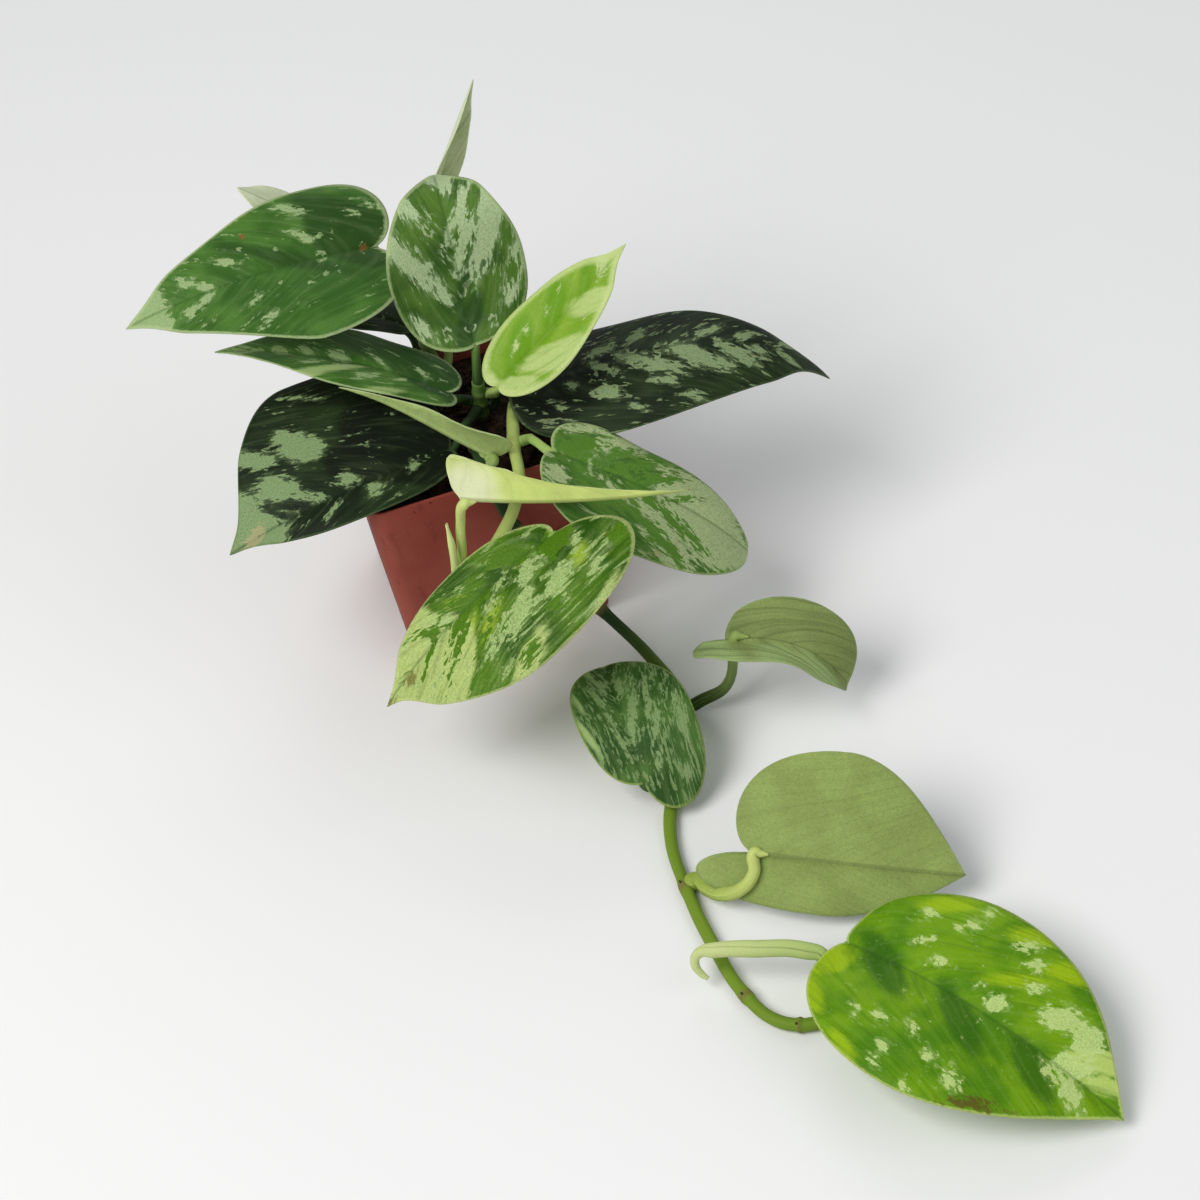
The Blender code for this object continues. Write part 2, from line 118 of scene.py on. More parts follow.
class Wire:
    """A number running through a material; arithmetic on it adds Math nodes."""

    def __init__(self, paint: "Paint", socket: bpy.types.NodeSocket) -> None:
        """Keep the material being painted and the socket that gives the number."""
        self.paint = paint
        self.socket = socket

    def maths(self, operation: str, *terms: "Wire | float", clamp: bool = False) -> "Wire":
        """Add one Math node.

        Args:
            operation: the Math node's operation.
            terms: its inputs, in order.
            clamp: keep the result from 0 to 1.

        Returns:
            The node's result.
        """
        settings = {"operation": operation, "use_clamp": clamp}
        node = self.paint.node("ShaderNodeMath", settings, dict(enumerate(terms)))
        return Wire(self.paint, node.outputs[0])

    def __add__(self, other: "Wire | float") -> "Wire":
        """self + other."""
        return self.maths("ADD", self, other)

    def __radd__(self, other: float) -> "Wire":
        """other + self."""
        return self.maths("ADD", other, self)

    def __sub__(self, other: "Wire | float") -> "Wire":
        """self - other."""
        return self.maths("SUBTRACT", self, other)

    def __rsub__(self, other: float) -> "Wire":
        """other - self."""
        return self.maths("SUBTRACT", other, self)

    def __mul__(self, other: "Wire | float") -> "Wire":
        """self * other."""
        return self.maths("MULTIPLY", self, other)

    def __rmul__(self, other: float) -> "Wire":
        """other * self."""
        return self.maths("MULTIPLY", other, self)

    def __truediv__(self, other: "Wire | float") -> "Wire":
        """self / other."""
        return self.maths("DIVIDE", self, other)

    def __pow__(self, other: float) -> "Wire":
        """self to a power."""
        return self.maths("POWER", self, other)

    def __abs__(self) -> "Wire":
        """Distance from nought."""
        return self.maths("ABSOLUTE", self)

    def larger(self, other: "Wire | float") -> "Wire":
        """The larger of two numbers."""
        return self.maths("MAXIMUM", self, other)

    def wave(self) -> "Wire":
        """Cosine of a number in turns, from 0 to 1."""
        turn = self.maths("COSINE", self * math.tau)
        return self.maths("MULTIPLY_ADD", turn, 0.5, 0.5, clamp=True)

    def rise(self, low: float, high: float) -> "Wire":
        """Climb smoothly from 0 at low to 1 at high, or fall where low is the larger.

        Args:
            low: where the result is 0.
            high: where it is 1.

        Returns:
            The result.
        """
        settings = {"interpolation_type": "SMOOTHSTEP"}
        start, stop, first, last = (low, high, 0.0, 1.0) if low < high else (high, low, 1.0, 0.0)
        values = {"Value": self, "From Min": start, "From Max": stop, "To Min": first, "To Max": last}
        return Wire(self.paint, self.paint.node("ShaderNodeMapRange", settings, values).outputs[0])


class Paint:
    """One material's nodes."""

    def __init__(self, name: str) -> None:
        """Start a material with a bare Principled shader.

        Args:
            name: the material's name.
        """
        self.material = bpy.data.materials.new(name)
        self.material.use_nodes = True
        self.tree = self.material.node_tree
        self.shader = self.tree.nodes["Principled BSDF"]

    def node(
        self, kind: str, settings: dict[str, object], values: dict[int | str, object]
    ) -> bpy.types.Node:
        """Add one node.

        Args:
            kind: the node's type.
            settings: its settings, which are set first.
            values: numbers, colours, sockets or wires for its inputs, by name or place.

        Returns:
            The node.
        """
        node = self.tree.nodes.new(kind)
        for name, value in settings.items():
            setattr(node, name, value)
        for key, value in values.items():
            self.feed(node.inputs[key], value)
        return node

    def feed(self, target: bpy.types.NodeSocket, value: object) -> None:
        """Link a wire or socket to an input, or set the input to a plain value.

        Args:
            target: the input.
            value: what it takes: a wire, a socket, a number or a colour.
        """
        source = value.socket if isinstance(value, Wire) else value
        if isinstance(source, bpy.types.NodeSocket):
            self.tree.links.new(source, target)
        elif isinstance(source, tuple) and len(source) == 3 and target.type == "RGBA":
            target.default_value = (*source, 1.0)
        else:
            target.default_value = source

    def split(self, source: bpy.types.NodeSocket) -> tuple[Wire, Wire, Wire]:
        """The three numbers of a vector or colour."""
        parts = self.node("ShaderNodeSeparateXYZ", {}, {0: source})
        return tuple(Wire(self, output) for output in parts.outputs)

    def joined(self, parts: "Sequence[Wire | float]") -> bpy.types.NodeSocket:
        """Three numbers joined into one vector."""
        return self.node("ShaderNodeCombineXYZ", {}, dict(enumerate(parts))).outputs[0]

    def measured(self, name: str) -> tuple[Wire, Wire, Wire]:
        """Three numbers kept on the mesh's vertices under one name."""
        found = self.node("ShaderNodeAttribute", {"attribute_name": name}, {})
        return self.split(found.outputs["Vector"])

    def place(self, scale: float) -> tuple[Wire, Wire, Wire]:
        """The piece's own coordinates in metres, times a scale."""
        found = self.node("ShaderNodeTexCoord", {}, {})
        return tuple(axis * scale for axis in self.split(found.outputs["Object"]))

    def cloud(self, at: Sequence["Wire | float"], detail: float = 2.0, rough: float = 0.5) -> Wire:
        """Smooth random values, about 0.5, that change over one unit of at.

        Args:
            at: the three coordinates.
            detail: how many finer layers are added.
            rough: how strong the finer layers are.

        Returns:
            The value.
        """
        values = {"Vector": self.joined(at), "Scale": 1.0, "Detail": detail, "Roughness": rough}
        return Wire(self, self.node("ShaderNodeTexNoise", {}, values).outputs[0])

    def spots(self, at: Sequence["Wire | float"]) -> Wire:
        """Distance to the nearest of scattered points, one for each unit of at."""
        values = {"Vector": self.joined(at), "Scale": 1.0}
        return Wire(self, self.node("ShaderNodeTexVoronoi", {}, values).outputs["Distance"])

    def cells(self, at: Sequence["Wire | float"]) -> Wire:
        """A random value, from 0 to 1, that is the same all over each angular cell."""
        values = {"Vector": self.joined(at), "Scale": 1.0}
        return self.split(self.node("ShaderNodeTexVoronoi", {}, values).outputs["Color"])[0]

    def blend(
        self, share: "Wire | float", under: object, over: object, way: str = "MIX"
    ) -> bpy.types.NodeSocket:
        """Lay one colour over another.

        Args:
            share: how much of the upper colour shows.
            under: the lower colour or its socket.
            over: the upper colour or its socket.
            way: the Mix node's blend type.

        Returns:
            The mixed colour's socket.
        """
        settings = {"data_type": "RGBA", "blend_type": way}
        return self.node("ShaderNodeMix", settings, {0: share, 6: under, 7: over}).outputs[2]

    def layered(
        self, colour: object, layers: "Sequence[tuple[Wire, object]]"
    ) -> bpy.types.NodeSocket:
        """Lay colours over one another.

        Args:
            colour: the lowest colour or its socket.
            layers: for each colour above it, how much of it shows, and the colour.

        Returns:
            The mixed colour's socket.
        """
        for share, over in layers:
            colour = self.blend(share, colour, over)
        return colour

    def grained(self, share: float, colour: object, grain: Wire, strength: float) -> bpy.types.NodeSocket:
        """Make a colour a little lighter and darker with a grain.

        Args:
            share: how much of the effect shows.
            colour: the colour or its socket.
            grain: the grain, about 0.5.
            strength: the brightness from the grain's lowest to its highest value.

        Returns:
            The grained colour's socket.
        """
        level = grain * strength + (1 - strength / 2)
        return self.blend(share, colour, self.joined((level, level, level)), "MULTIPLY")

    def coat(
        self, colour: object, rough: "Wire | float", height: Wire | None = None, depth: float = 0.3
    ) -> None:
        """Feed the shader.

        Args:
            colour: the base colour or its socket.
            rough: the roughness or its wire.
            height: the relief, from 0 to 1.
            depth: the relief's depth in millimetres.
        """
        self.feed(self.shader.inputs["Base Color"], colour)
        self.feed(self.shader.inputs["Roughness"], rough)
        self.feed(self.shader.inputs["Specular IOR Level"], LOW_GLOSS)
        if height is not None:
            values = {"Strength": 1.0, "Distance": depth * MM, "Height": height}
            self.feed(self.shader.inputs["Normal"], self.node("ShaderNodeBump", {}, values).outputs[0])


class Kind(Enum):
    """What a mark on a blade is, and the name and place under which the mesh keeps its depth."""

    SILVER = ("marks_a", 0)
    GREEN = ("marks_a", 1)
    LIME = ("marks_a", 2)
    PALE = ("marks_b", 0)
    # Darker green patches: the leaf's own tone on most leaves, and painted shade on leaf_04 and leaf_05,
    # where the crown shadows the blade near its base.
    DARK = ("marks_b", 1)
    BROWN = ("marks_b", 2)


Spot = tuple[float, float, float, float]
Mark = tuple[Kind, float, float, float, float]


@dataclass(frozen=True)
class LeafFinish:
    """Colours of a leaf, and how it is marked.

    fleck is the level that the random patches pass to make a fleck, patch the width of a marking in
    millimetres and stretch its length over its width. cell is the width of the angular cells that
    the markings are made of, and broken how much they break up a marking's edge. veined, streaked
    and grainy are the strengths of the veins, the streaks along them and the satin grain on the
    face, ribbed and rough_back those of the veins and grain on the back. broad, jag and streak are
    the lengths in millimetres of the slow changes, ragged edges and streaks, and grain counts the
    grains in a millimetre.
    """

    green: Colour
    green_far: Colour
    silver: Colour
    pale: Colour
    margin: Colour
    back: Colour
    stalk: Colour
    stalk_end: Colour
    dark: Colour = shade(40, 72, 26)
    lime: Colour = shade(148, 180, 24)
    brown: Colour = shade(126, 88, 46)
    rib: Colour = shade(48, 84, 30)
    fleck: float = 0.62
    patch: float = 3.2
    stretch: float = 2.8
    cell: float = 1.1
    cell_stretch: float = 2.1
    broken: float = 1.0
    margin_width: float = 0.8
    margin_share: float = 0.7
    veined: float = 0.05
    streaked: float = 0.06
    grainy: float = 0.5
    ribbed: float = 0.1
    rough_back: float = 0.9
    broad: float = 17.0
    broad_back: float = 15.0
    jag: float = 1.3
    streak_width: float = 2.0
    streak: float = 16.0
    streak_back: float = 30.0
    grain: float = 1.6
    grain_back: float = 1.7

    def face(self, name: str, seed: float) -> bpy.types.Material:
        """Paint the upper face.

        Args:
            name: the material's name.
            seed: shifts the random markings from leaf to leaf.

        Returns:
            The material.
        """
        paint = Paint(name)
        along, across, edge = paint.measured("sheet")
        lane, run, _ = paint.measured("vein")
        silver_mark, green_mark, lime_mark = paint.measured("marks_a")
        pale_mark, dark_mark, brown_mark = paint.measured("marks_b")
        broad = paint.cloud((along / self.broad, across / self.broad, seed), 2)
        jag = paint.cloud((along / self.jag, across / self.jag, seed + 5.3), 3, 0.6)
        wander = (jag - 0.5) * 0.8
        patch = paint.cloud((lane / self.patch, run / (self.patch * self.stretch), seed + 3.1), 3, 0.6)
        cell_long = self.cell * self.cell_stretch
        cell = paint.cells((lane / self.cell + wander, run / cell_long + wander, seed))
        streak = paint.cloud((lane / self.streak_width, run / self.streak, seed + 9.1), 2)
        grain = paint.cloud((along * self.grain, across * self.grain, seed + 7.7), 2, 0.7)
        ragged = (patch - 0.5) * 2.2 + (cell - 0.5) * self.broken + (jag - 0.5) * 0.7
        field = silver_mark + ragged
        loose = (patch - self.fleck) * 7 + (cell - 0.5) * 1.5
        bare = (green_mark + ragged).rise(-0.2, 0.1)
        silver = field.rise(-0.55, -0.1) * 0.25 + field.rise(0.0, 0.14) * 0.75
        silver = silver.larger(loose.rise(0.1, 0.5) * 0.8) * (1 - bare)
        soft = (broad - 0.5) * 1.2 + (jag - 0.5) * 0.6 + (streak - 0.5) * 0.9
        veins = (lane / VEIN_PITCH + (patch - 0.5) * 0.5).wave() ** 12
        speckled = silver * (grain.rise(0.3, 0.6) * 0.3 + 0.7)
        rim = (edge + (jag - 0.5)).rise(self.margin_width, self.margin_width * 0.3)
        colour = paint.layered(self.green, (
            (broad.rise(0.36, 0.64), self.green_far),
            ((dark_mark + soft).rise(-0.6, 0.7) * 0.85, self.dark),
            ((lime_mark + soft).rise(-0.6, 0.7) * 0.85, self.lime),
            ((pale_mark + soft).rise(-0.4, 0.5) * 0.92, self.pale),
            (streak.rise(0.48, 0.7) * self.streaked, self.silver),
            (streak.rise(0.5, 0.3) * 0.3, self.dark),
            (bare, self.green),
            (veins * self.veined, self.margin),
            (speckled * 0.95, self.silver),
            # The midrib line in the rib colour: partly the midrib's own colour and, where rib is darker
            # than the green, partly painted shade in its groove.
            (abs(across).rise(1.0, 0.2) * 0.4, self.rib),
            (rim * self.margin_share, self.margin),
            ((brown_mark + ragged).rise(-0.3, 0.4) * 0.8, self.brown),
        ))
        colour = paint.grained(0.9, colour, grain, self.grainy)
        height = (1 - veins) * 0.2 + grain * 0.3 + silver * 0.2 + streak * 0.3
        paint.coat(colour, 0.46 + silver * 0.1 + grain * 0.08, height, 0.14)
        return paint.material

    def underside(self, name: str, seed: float) -> bpy.types.Material:
        """Paint the under face.

        Args:
            name: the material's name.
            seed: shifts the random variation from leaf to leaf.

        Returns:
            The material.
        """
        paint = Paint(name)
        along, across, edge = paint.measured("sheet")
        lane, run, _ = paint.measured("vein")
        broad = paint.cloud((along / self.broad_back, across / self.broad_back, seed), 2)
        streak = paint.cloud((lane / self.streak_width, run / self.streak_back, seed + 2.3), 2, 0.6)
        grain = paint.cloud((along * self.grain_back, across * self.grain_back, seed + 7.7), 2, 0.75)
        pale_mark, _, _ = paint.measured("marks_b")
        veins = (lane / VEIN_PITCH + (streak - 0.5) * 0.25).wave() ** 18
        deep, light = tinted(self.back, 0.55), tinted(self.back, 1.3)
        colour = paint.layered(self.back, (
            (broad.rise(0.38, 0.64) * 0.5, light),
            ((pale_mark + (broad - 0.5)).rise(-0.3, 0.5) * 0.8, self.pale),
            (streak.rise(0.48, 0.7) * self.ribbed, deep),
            (streak.rise(0.45, 0.3) * self.ribbed * 0.6, light),
            (veins * self.ribbed, deep),
            (abs(across).rise(0.9, 0.35) * 0.5, deep),
            ((edge + (grain - 0.5)).rise(0.7, 0.3) * 0.35, self.margin),
        ))
        colour = paint.grained(0.9, colour, grain, self.rough_back)
        height = veins * 0.3 + streak * (0.2 + self.ribbed) + grain * 0.4
        paint.coat(colour, 0.55 + grain * 0.15, height, 0.2)
        return paint.material


@dataclass(frozen=True)
class StemFinish:
    """Colours of a stem or petiole, and the shares of its length from which and to which they turn."""

    start: Colour
    end: Colour
    seed: float = 0.0
    scar: Colour = shade(120, 100, 62)
    scarred: float = 0.0
    turns_from: float = 0.05
    turns_to: float = 0.95

    def material(self, name: str, length: float) -> bpy.types.Material:
        """Paint the stem.

        Args:
            name: the material's name.
            length: the along value at the stem's end.

        Returns:
            The material.
        """
        paint = Paint(name)
        along, turn, knot = paint.measured("tube")
        share = (along / length).rise(self.turns_from, self.turns_to)
        lines = paint.cloud((turn * 2.6, along * 1.2 / length, self.seed), 3, 0.6)
        mottle = paint.cloud((turn * 0.8, along * 14 / length, self.seed + 4), 3, 0.6)
        grain = paint.cloud(paint.place(1 / (0.5 * MM)), 2)
        colour = paint.layered(self.start, (
            (share, self.end),
            (lines.rise(0.5, 0.75) * 0.35, tinted(self.end, 1.45)),
            (mottle.rise(0.55, 0.75) * 0.25, tinted(self.start, 0.55)),
            ((knot + (grain - 0.5) * 0.8).rise(0.55, 0.95) * self.scarred, self.scar),
        ))
        colour = paint.grained(0.8, colour, grain, 0.3)
        paint.coat(colour, 0.42 + lines * 0.15, lines * 0.6 + grain * 0.4, 0.18)
        return paint.material


@dataclass(frozen=True)
class PotFinish:
    """Matt brick-red nursery plastic with dust and soil specks."""

    red: Colour = shade(136, 62, 52)
    worn: Colour = shade(152, 82, 70)
    dirt: Colour = shade(58, 30, 24)

    def material(self) -> bpy.types.Material:
        """Paint the pot.

        Returns:
            The material.
        """
        paint = Paint("pot_plastic")
        at = paint.place(1 / MM)
        broad = paint.cloud([axis / 30 for axis in at], 3)
        grain = paint.cloud([axis * 1.6 for axis in at], 2, 0.6)
        film = paint.cloud([at[0] / 5, at[1] / 5, at[2] / 16], 4, 0.65)
        specks = paint.spots([axis / 6.5 for axis in at])
        chosen = paint.cloud([axis / 9 for axis in at], 1)
        speck = (specks + (grain - 0.5) * 0.12).rise(0.13, 0.06) * chosen.rise(0.48, 0.55)
        colour = paint.layered(self.red, (
            (broad.rise(0.35, 0.7) * 0.6, self.worn),
            (film.rise(0.56, 0.76) * 0.3, self.dirt),
            (speck * 0.85, self.dirt),
        ))
        colour = paint.grained(0.7, colour, grain, 0.3)
        paint.coat(colour, 0.56 + film * 0.2, grain * 0.7 + speck * 0.6, 0.12)
        return paint.material


@dataclass(frozen=True)
class SoilFinish:
    """Dark moist peat with a few lighter fibres."""

    dark: Colour = shade(30, 22, 17)
    brown: Colour = shade(66, 48, 34)
    fibre: Colour = shade(120, 96, 66)

    def material(self, name: str) -> bpy.types.Material:
        """Paint the soil.

        Args:
            name: the material's name.

        Returns:
            The material.
        """
        paint = Paint(name)
        at = paint.place(1 / MM)
        clod = paint.cloud([axis / 3.4 for axis in at], 4, 0.65)
        grain = paint.cloud([axis * 1.3 for axis in at], 3, 0.7)
        strand = paint.cloud([at[0] / 6, at[1] * 1.1, at[2] * 1.1], 3, 0.6)
        layers = ((clod.rise(0.4, 0.7), self.brown), (strand.rise(0.66, 0.72) * 0.6, self.fibre))
        colour = paint.layered(self.dark, layers)
        paint.coat(colour, 0.85 + grain * 0.15, clod * 0.5 + grain * 0.5, 1.0)
        return paint.material


@dataclass(frozen=True)
class FloorFinish:
    """Plain pale studio floor."""

    pale: Colour = (0.86, 0.86, 0.86)
    tooth: Colour = (0.8, 0.8, 0.8)

    def material(self) -> bpy.types.Material:
        """Paint the floor.

        Returns:
            The material.
        """
        paint = Paint("floor_paper")
        tooth = paint.cloud(paint.place(1 / (4 * MM)), 2)
        paint.coat(paint.blend(tooth * 0.06, self.pale, self.tooth), 0.9)
        return paint.material


class Draft:
    """A mesh in the making: points in millimetres, faces, material slots and values on the points."""

    def __init__(self) -> None:
        """Start empty."""
        self.points: list[Vector] = []
        self.faces: list[tuple[int, ...]] = []
        self.slots: list[int] = []
        self.values: dict[str, dict[int, Triple]] = {}

    def point(self, place: Vector, values: dict[str, Triple]) -> int:
        """Add one point.

        Args:
            place: where it lies, in millimetres.
            values: what is kept on it, by name.

        Returns:
            Its number.
        """
        number = len(self.points)
        self.points.append(place)
        for name, value in values.items():
            self.values.setdefault(name, {})[number] = value
        return number

    def face(self, corners: Sequence[int], slot: int = 0) -> None:
        """Add a face, without its repeated corners, if three or more are left.

        Args:
            corners: its points, counter-clockwise seen from outside.
            slot: its material slot.
        """
        kept = tuple(dict.fromkeys(corners))
        if len(kept) > 2:
            self.faces.append(kept)
            self.slots.append(slot)

    def skin(self, rows: Sequence[Sequence[int]], slot: int = 0, wrap: bool = False) -> None:
        """Join rows of points with faces.

        Args:
            rows: the rows, all of one length.
            slot: the faces' material slot.
            wrap: join each row's ends as well.
        """
        for first, second in zip(rows, rows[1:]):
            count = len(first)
            for here in range(count if wrap else count - 1):
                there = (here + 1) % count
                self.face((first[here], first[there], second[there], second[here]), slot)

    def cap(self, ring: Sequence[int], slot: int = 0) -> None:
        """Close a ring with a fan round its middle.

        Args:
            ring: its points, counter-clockwise seen from outside.
            slot: the faces' material slot.
        """
        middle = sum((self.points[number] for number in ring), Vector()) / len(ring)
        values = {name: kept[ring[0]] for name, kept in self.values.items() if ring[0] in kept}
        centre = self.point(middle, values)
        for here, there in zip(ring, (*ring[1:], ring[0])):
            self.face((here, there, centre), slot)

    def made(
        self, name: str, materials: Sequence[bpy.types.Material], flat: bool = False
    ) -> bpy.types.Object:
        """Turn the draft into an object.

        Args:
            name: the object's name.
            materials: its materials, by slot.
            flat: leave the faces flat.

        Returns:
            The object, linked to the scene.
        """
        mesh = bpy.data.meshes.new(name)
        mesh.from_pydata([tuple(point * MM) for point in self.points], [], self.faces)
        for material in materials:
            mesh.materials.append(material)
        mesh.polygons.foreach_set("material_index", self.slots)
        mesh.polygons.foreach_set("use_smooth", [not flat] * len(self.faces))
        for label, kept in self.values.items():
            attribute = mesh.attributes.new(label, "FLOAT_VECTOR", "POINT")
            rows = (kept.get(number, (0.0, 0.0, 0.0)) for number in range(len(self.points)))
            attribute.data.foreach_set("vector", [level for row in rows for level in row])
        mesh.validate()
        mesh.update()
        return linked(name, mesh)


@dataclass(frozen=True)
class Stop:
    """One sample of a route: its place, direction, a side direction, and how far along it lies."""

    place: Vector
    ahead: Vector
    side: Vector
    knot: float
    along: float

    def way(self, turn: float) -> Vector:
        """Direction away from the route at a turn from its side, in radians."""
        return self.side * math.cos(turn) + self.ahead.cross(self.side) * math.sin(turn)

    def values(self, turn: float, knot: float) -> dict[str, Triple]:
        """What a stem's finish reads at a turn: the length, the way round, and how scarred it is."""
        return {"tube": (self.along, math.cos(turn) * 2 + 3, knot)}


class Route:
    """A smooth line through knots, sampled with a side direction that doesn't twist."""

    def __init__(self, knots: Sequence[Vector], steps: int) -> None:
        """Run a smooth curve through the knots.

        Args:
            knots: the points that it passes, in millimetres.
            steps: the samples between one knot and the next.
        """
        curve = bpy.data.curves.new("route", "CURVE")
        curve.dimensions = "3D"
        spline = curve.splines.new("BEZIER")
        spline.bezier_points.add(len(knots) - 1)
        for point, knot in zip(spline.bezier_points, knots):
            point.co = knot
            point.handle_left_type = "AUTO"
            point.handle_right_type = "AUTO"
        holder = linked("route", curve)
        bpy.context.view_layer.update()
        places: list[Vector] = []
        points = list(spline.bezier_points)
        for here, there in zip(points, points[1:]):
            handles = (here.co, here.handle_right, there.handle_left, there.co)
            places += [place.copy() for place in interpolate_bezier(*handles, steps + 1)[:-1]]
        places.append(points[-1].co.copy())
        bpy.data.objects.remove(holder)
        bpy.data.curves.remove(curve)
        self.steps = steps
        self.stops = self.framed(places)
        self.length = self.stops[-1].along

    def framed(self, places: Sequence[Vector]) -> list[Stop]:
        """Give each place its directions and its distance from the start.

        Args:
            places: the samples, in order.

        Returns:
            The stops.
        """
        stops: list[Stop] = []
        side = Vector((0, 0, 1))
        gone = 0.0
        last = len(places) - 1
        for number, place in enumerate(places):
            ahead = (places[min(number + 1, last)] - places[max(number - 1, 0)]).normalized()
            side = side - ahead * side.dot(ahead)
            side = side.normalized() if side.length > 0.01 else ahead.orthogonal().normalized()
            if number:
                gone += (place - places[number - 1]).length
            stops.append(Stop(place, ahead, side, number / self.steps, gone))
        return stops


@dataclass(frozen=True)
class StemPlan:
    """A stem: its node's name, its knots and radius, and the knots that bear a leaf or bud."""

    name: str
    slot: str
    finish: StemFinish
    points: tuple[Triple, ...]
    radius: float
    bearing: tuple[int, ...]

    def leaving(self, knot: int, leave: Triple) -> tuple[Vector, Vector]:
        """Where a growth starts beside the stem, and its first direction.

        Args:
            knot: the number of the knot that bears it.
            leave: the direction that it takes, roughly.

        Returns:
            The starting point and the direction.
        """
        points = [Vector(point) for point in self.points]
        last = len(points) - 1
        ahead = (points[min(knot + 1, last)] - points[knot - 1]).normalized()
        if knot == last:
            return points[knot] + ahead * TOUCH_GAP, ahead
        turned = Vector(leave)
        turned = (turned - ahead * turned.dot(ahead)).normalized()
        return points[knot] + turned * (self.radius + TOUCH_GAP), turned


TRAILING_VINE = StemPlan(
    "trailing_vine", "vine_stem",
    StemFinish(shade(40, 60, 34), shade(112, 140, 42), 1.0, scarred=0.7, turns_from=0.38, turns_to=0.55),
    (
        (4, -8, 58), (5, -12, 80), (7, -27, 92), (9, -42, 93.5), (11.5, -49.5, 84),
        (16, -49.5, 67), (27, -49, 44), (41, -52, 18.5), (57.5, -73, 4.4), (66.5, -103, 2.8),
        (64, -124, 2.8), (54, -146, 2.8), (49.5, -168, 2.8), (51, -193, 2.8), (56, -222, 2.8),
        (64, -250, 2.8), (72, -262.5, 2.8), (80, -267, 3.0), (86, -268, 3.2),
    ),
    2.4, (2, 5, 7, 9, 11, 13, 15, 17),
)
YOUNG_SHOOT = StemPlan(
    "young_shoot", "pale_stem",
    StemFinish(shade(150, 172, 90), shade(196, 210, 122), 2.0, scarred=0.15),
    (
        (24, 14, 58), (25, 8, 80), (24, -8, 90), (22, -33, 95), (20, -56, 90), (8, -65, 75),
        (1.5, -65.5, 68), (-4.5, -65.8, 60.5), (-10, -66, 53.5), (-11, -66, 52.2),
    ),
    2.4, (3, 6, 7, 8),
)
CROWN_STEM = StemPlan(
    "crown_stem", "green_stem",
    StemFinish(shade(58, 84, 42), shade(92, 122, 58), 3.0, scarred=0.6),
    ((13, 8, 58), (12.5, 5, 78), (12, 3, 84.5), (12, 1.5, 90.5), (12.5, 0, 97), (13, -1, 103)),
    2.5, (2, 3, 4),
)
BACK_STEM = StemPlan(
    "back_stem", "green_stem",
    StemFinish(shade(58, 84, 42), shade(88, 118, 56), 4.0, scarred=0.6),
    ((-4, 31, 58), (-4, 30, 78), (-4, 30, 86), (-4, 29.5, 95), (-4.5, 29, 104), (-5, 29, 112)),
    2.5, (2, 3, 4),
)
STEMS = (TRAILING_VINE, YOUNG_SHOOT, CROWN_STEM, BACK_STEM)

GREEN = LeafFinish(
    green=shade(76, 118, 46), green_far=shade(54, 94, 32), silver=shade(154, 178, 124),
    pale=shade(160, 184, 118), margin=shade(168, 188, 134), back=shade(124, 144, 84),
    stalk=shade(44, 66, 34), stalk_end=shade(78, 106, 52), fleck=0.65,
)
FIRST_LEAF = replace(GREEN, margin_width=1.5, margin_share=0.8)
VINE_GREEN = replace(
    GREEN, green=shade(72, 108, 46), green_far=shade(46, 80, 32), silver=shade(132, 156, 102),
    patch=1.5, stretch=2.6, fleck=0.52, streaked=0.12, cell=0.9, cell_stretch=1.6,
    margin=shade(150, 170, 90), margin_share=0.8,
)
TOP_LEAF = LeafFinish(
    green=shade(80, 116, 42), green_far=shade(52, 86, 30), silver=shade(172, 192, 146),
    pale=shade(164, 186, 126), margin=shade(168, 188, 130), back=shade(124, 144, 84),
    stalk=shade(58, 84, 42), stalk_end=shade(110, 140, 70), dark=shade(38, 68, 26), margin_width=1.6,
)
# Painted shade: a darker copy of the leaf's colours for the leaves in the crown's shadow, leaf_04 and
# leaf_16, and through SHADED leaf_05. Its near-black dark is painted for the deepest shadow.
DARK = LeafFinish(
    green=shade(36, 52, 26), green_far=shade(22, 34, 18), silver=shade(132, 152, 108),
    pale=shade(140, 160, 112), margin=shade(96, 116, 76), back=shade(84, 102, 60),
    stalk=shade(40, 60, 34), stalk_end=shade(60, 84, 46), rib=shade(28, 42, 22), dark=shade(14, 20, 11),
    margin_share=0.4, veined=0.03,
)
SHADED = replace(DARK, silver=shade(134, 158, 108), brown=shade(166, 160, 118), fleck=0.66, stretch=2.0)
# Its silver is lightened as painted light, against the shade on the tip, which faces away from the lamps.
SILVERED = LeafFinish(
    green=shade(84, 126, 44), green_far=shade(64, 104, 38), silver=shade(170, 186, 134),
    pale=shade(166, 186, 130), margin=shade(166, 184, 124), back=shade(132, 160, 100),
    stalk=shade(150, 176, 96), stalk_end=shade(150, 176, 96), brown=shade(176, 164, 118), grainy=0.7,
    fleck=0.58, broken=1.3,
)
BRIGHT = LeafFinish(
    green=shade(110, 154, 14), green_far=shade(76, 126, 10), silver=shade(184, 206, 128),
    pale=shade(180, 202, 106), margin=shade(186, 202, 116), back=shade(140, 170, 96),
    stalk=shade(160, 184, 100), stalk_end=shade(130, 164, 70), dark=shade(50, 98, 10),
    lime=shade(152, 184, 14), brown=shade(92, 74, 30), patch=2.6, stretch=1.2, cell=1.7,
    cell_stretch=1.0, broken=0.9, fleck=0.72, margin_width=1.0, streaked=0.03,
)
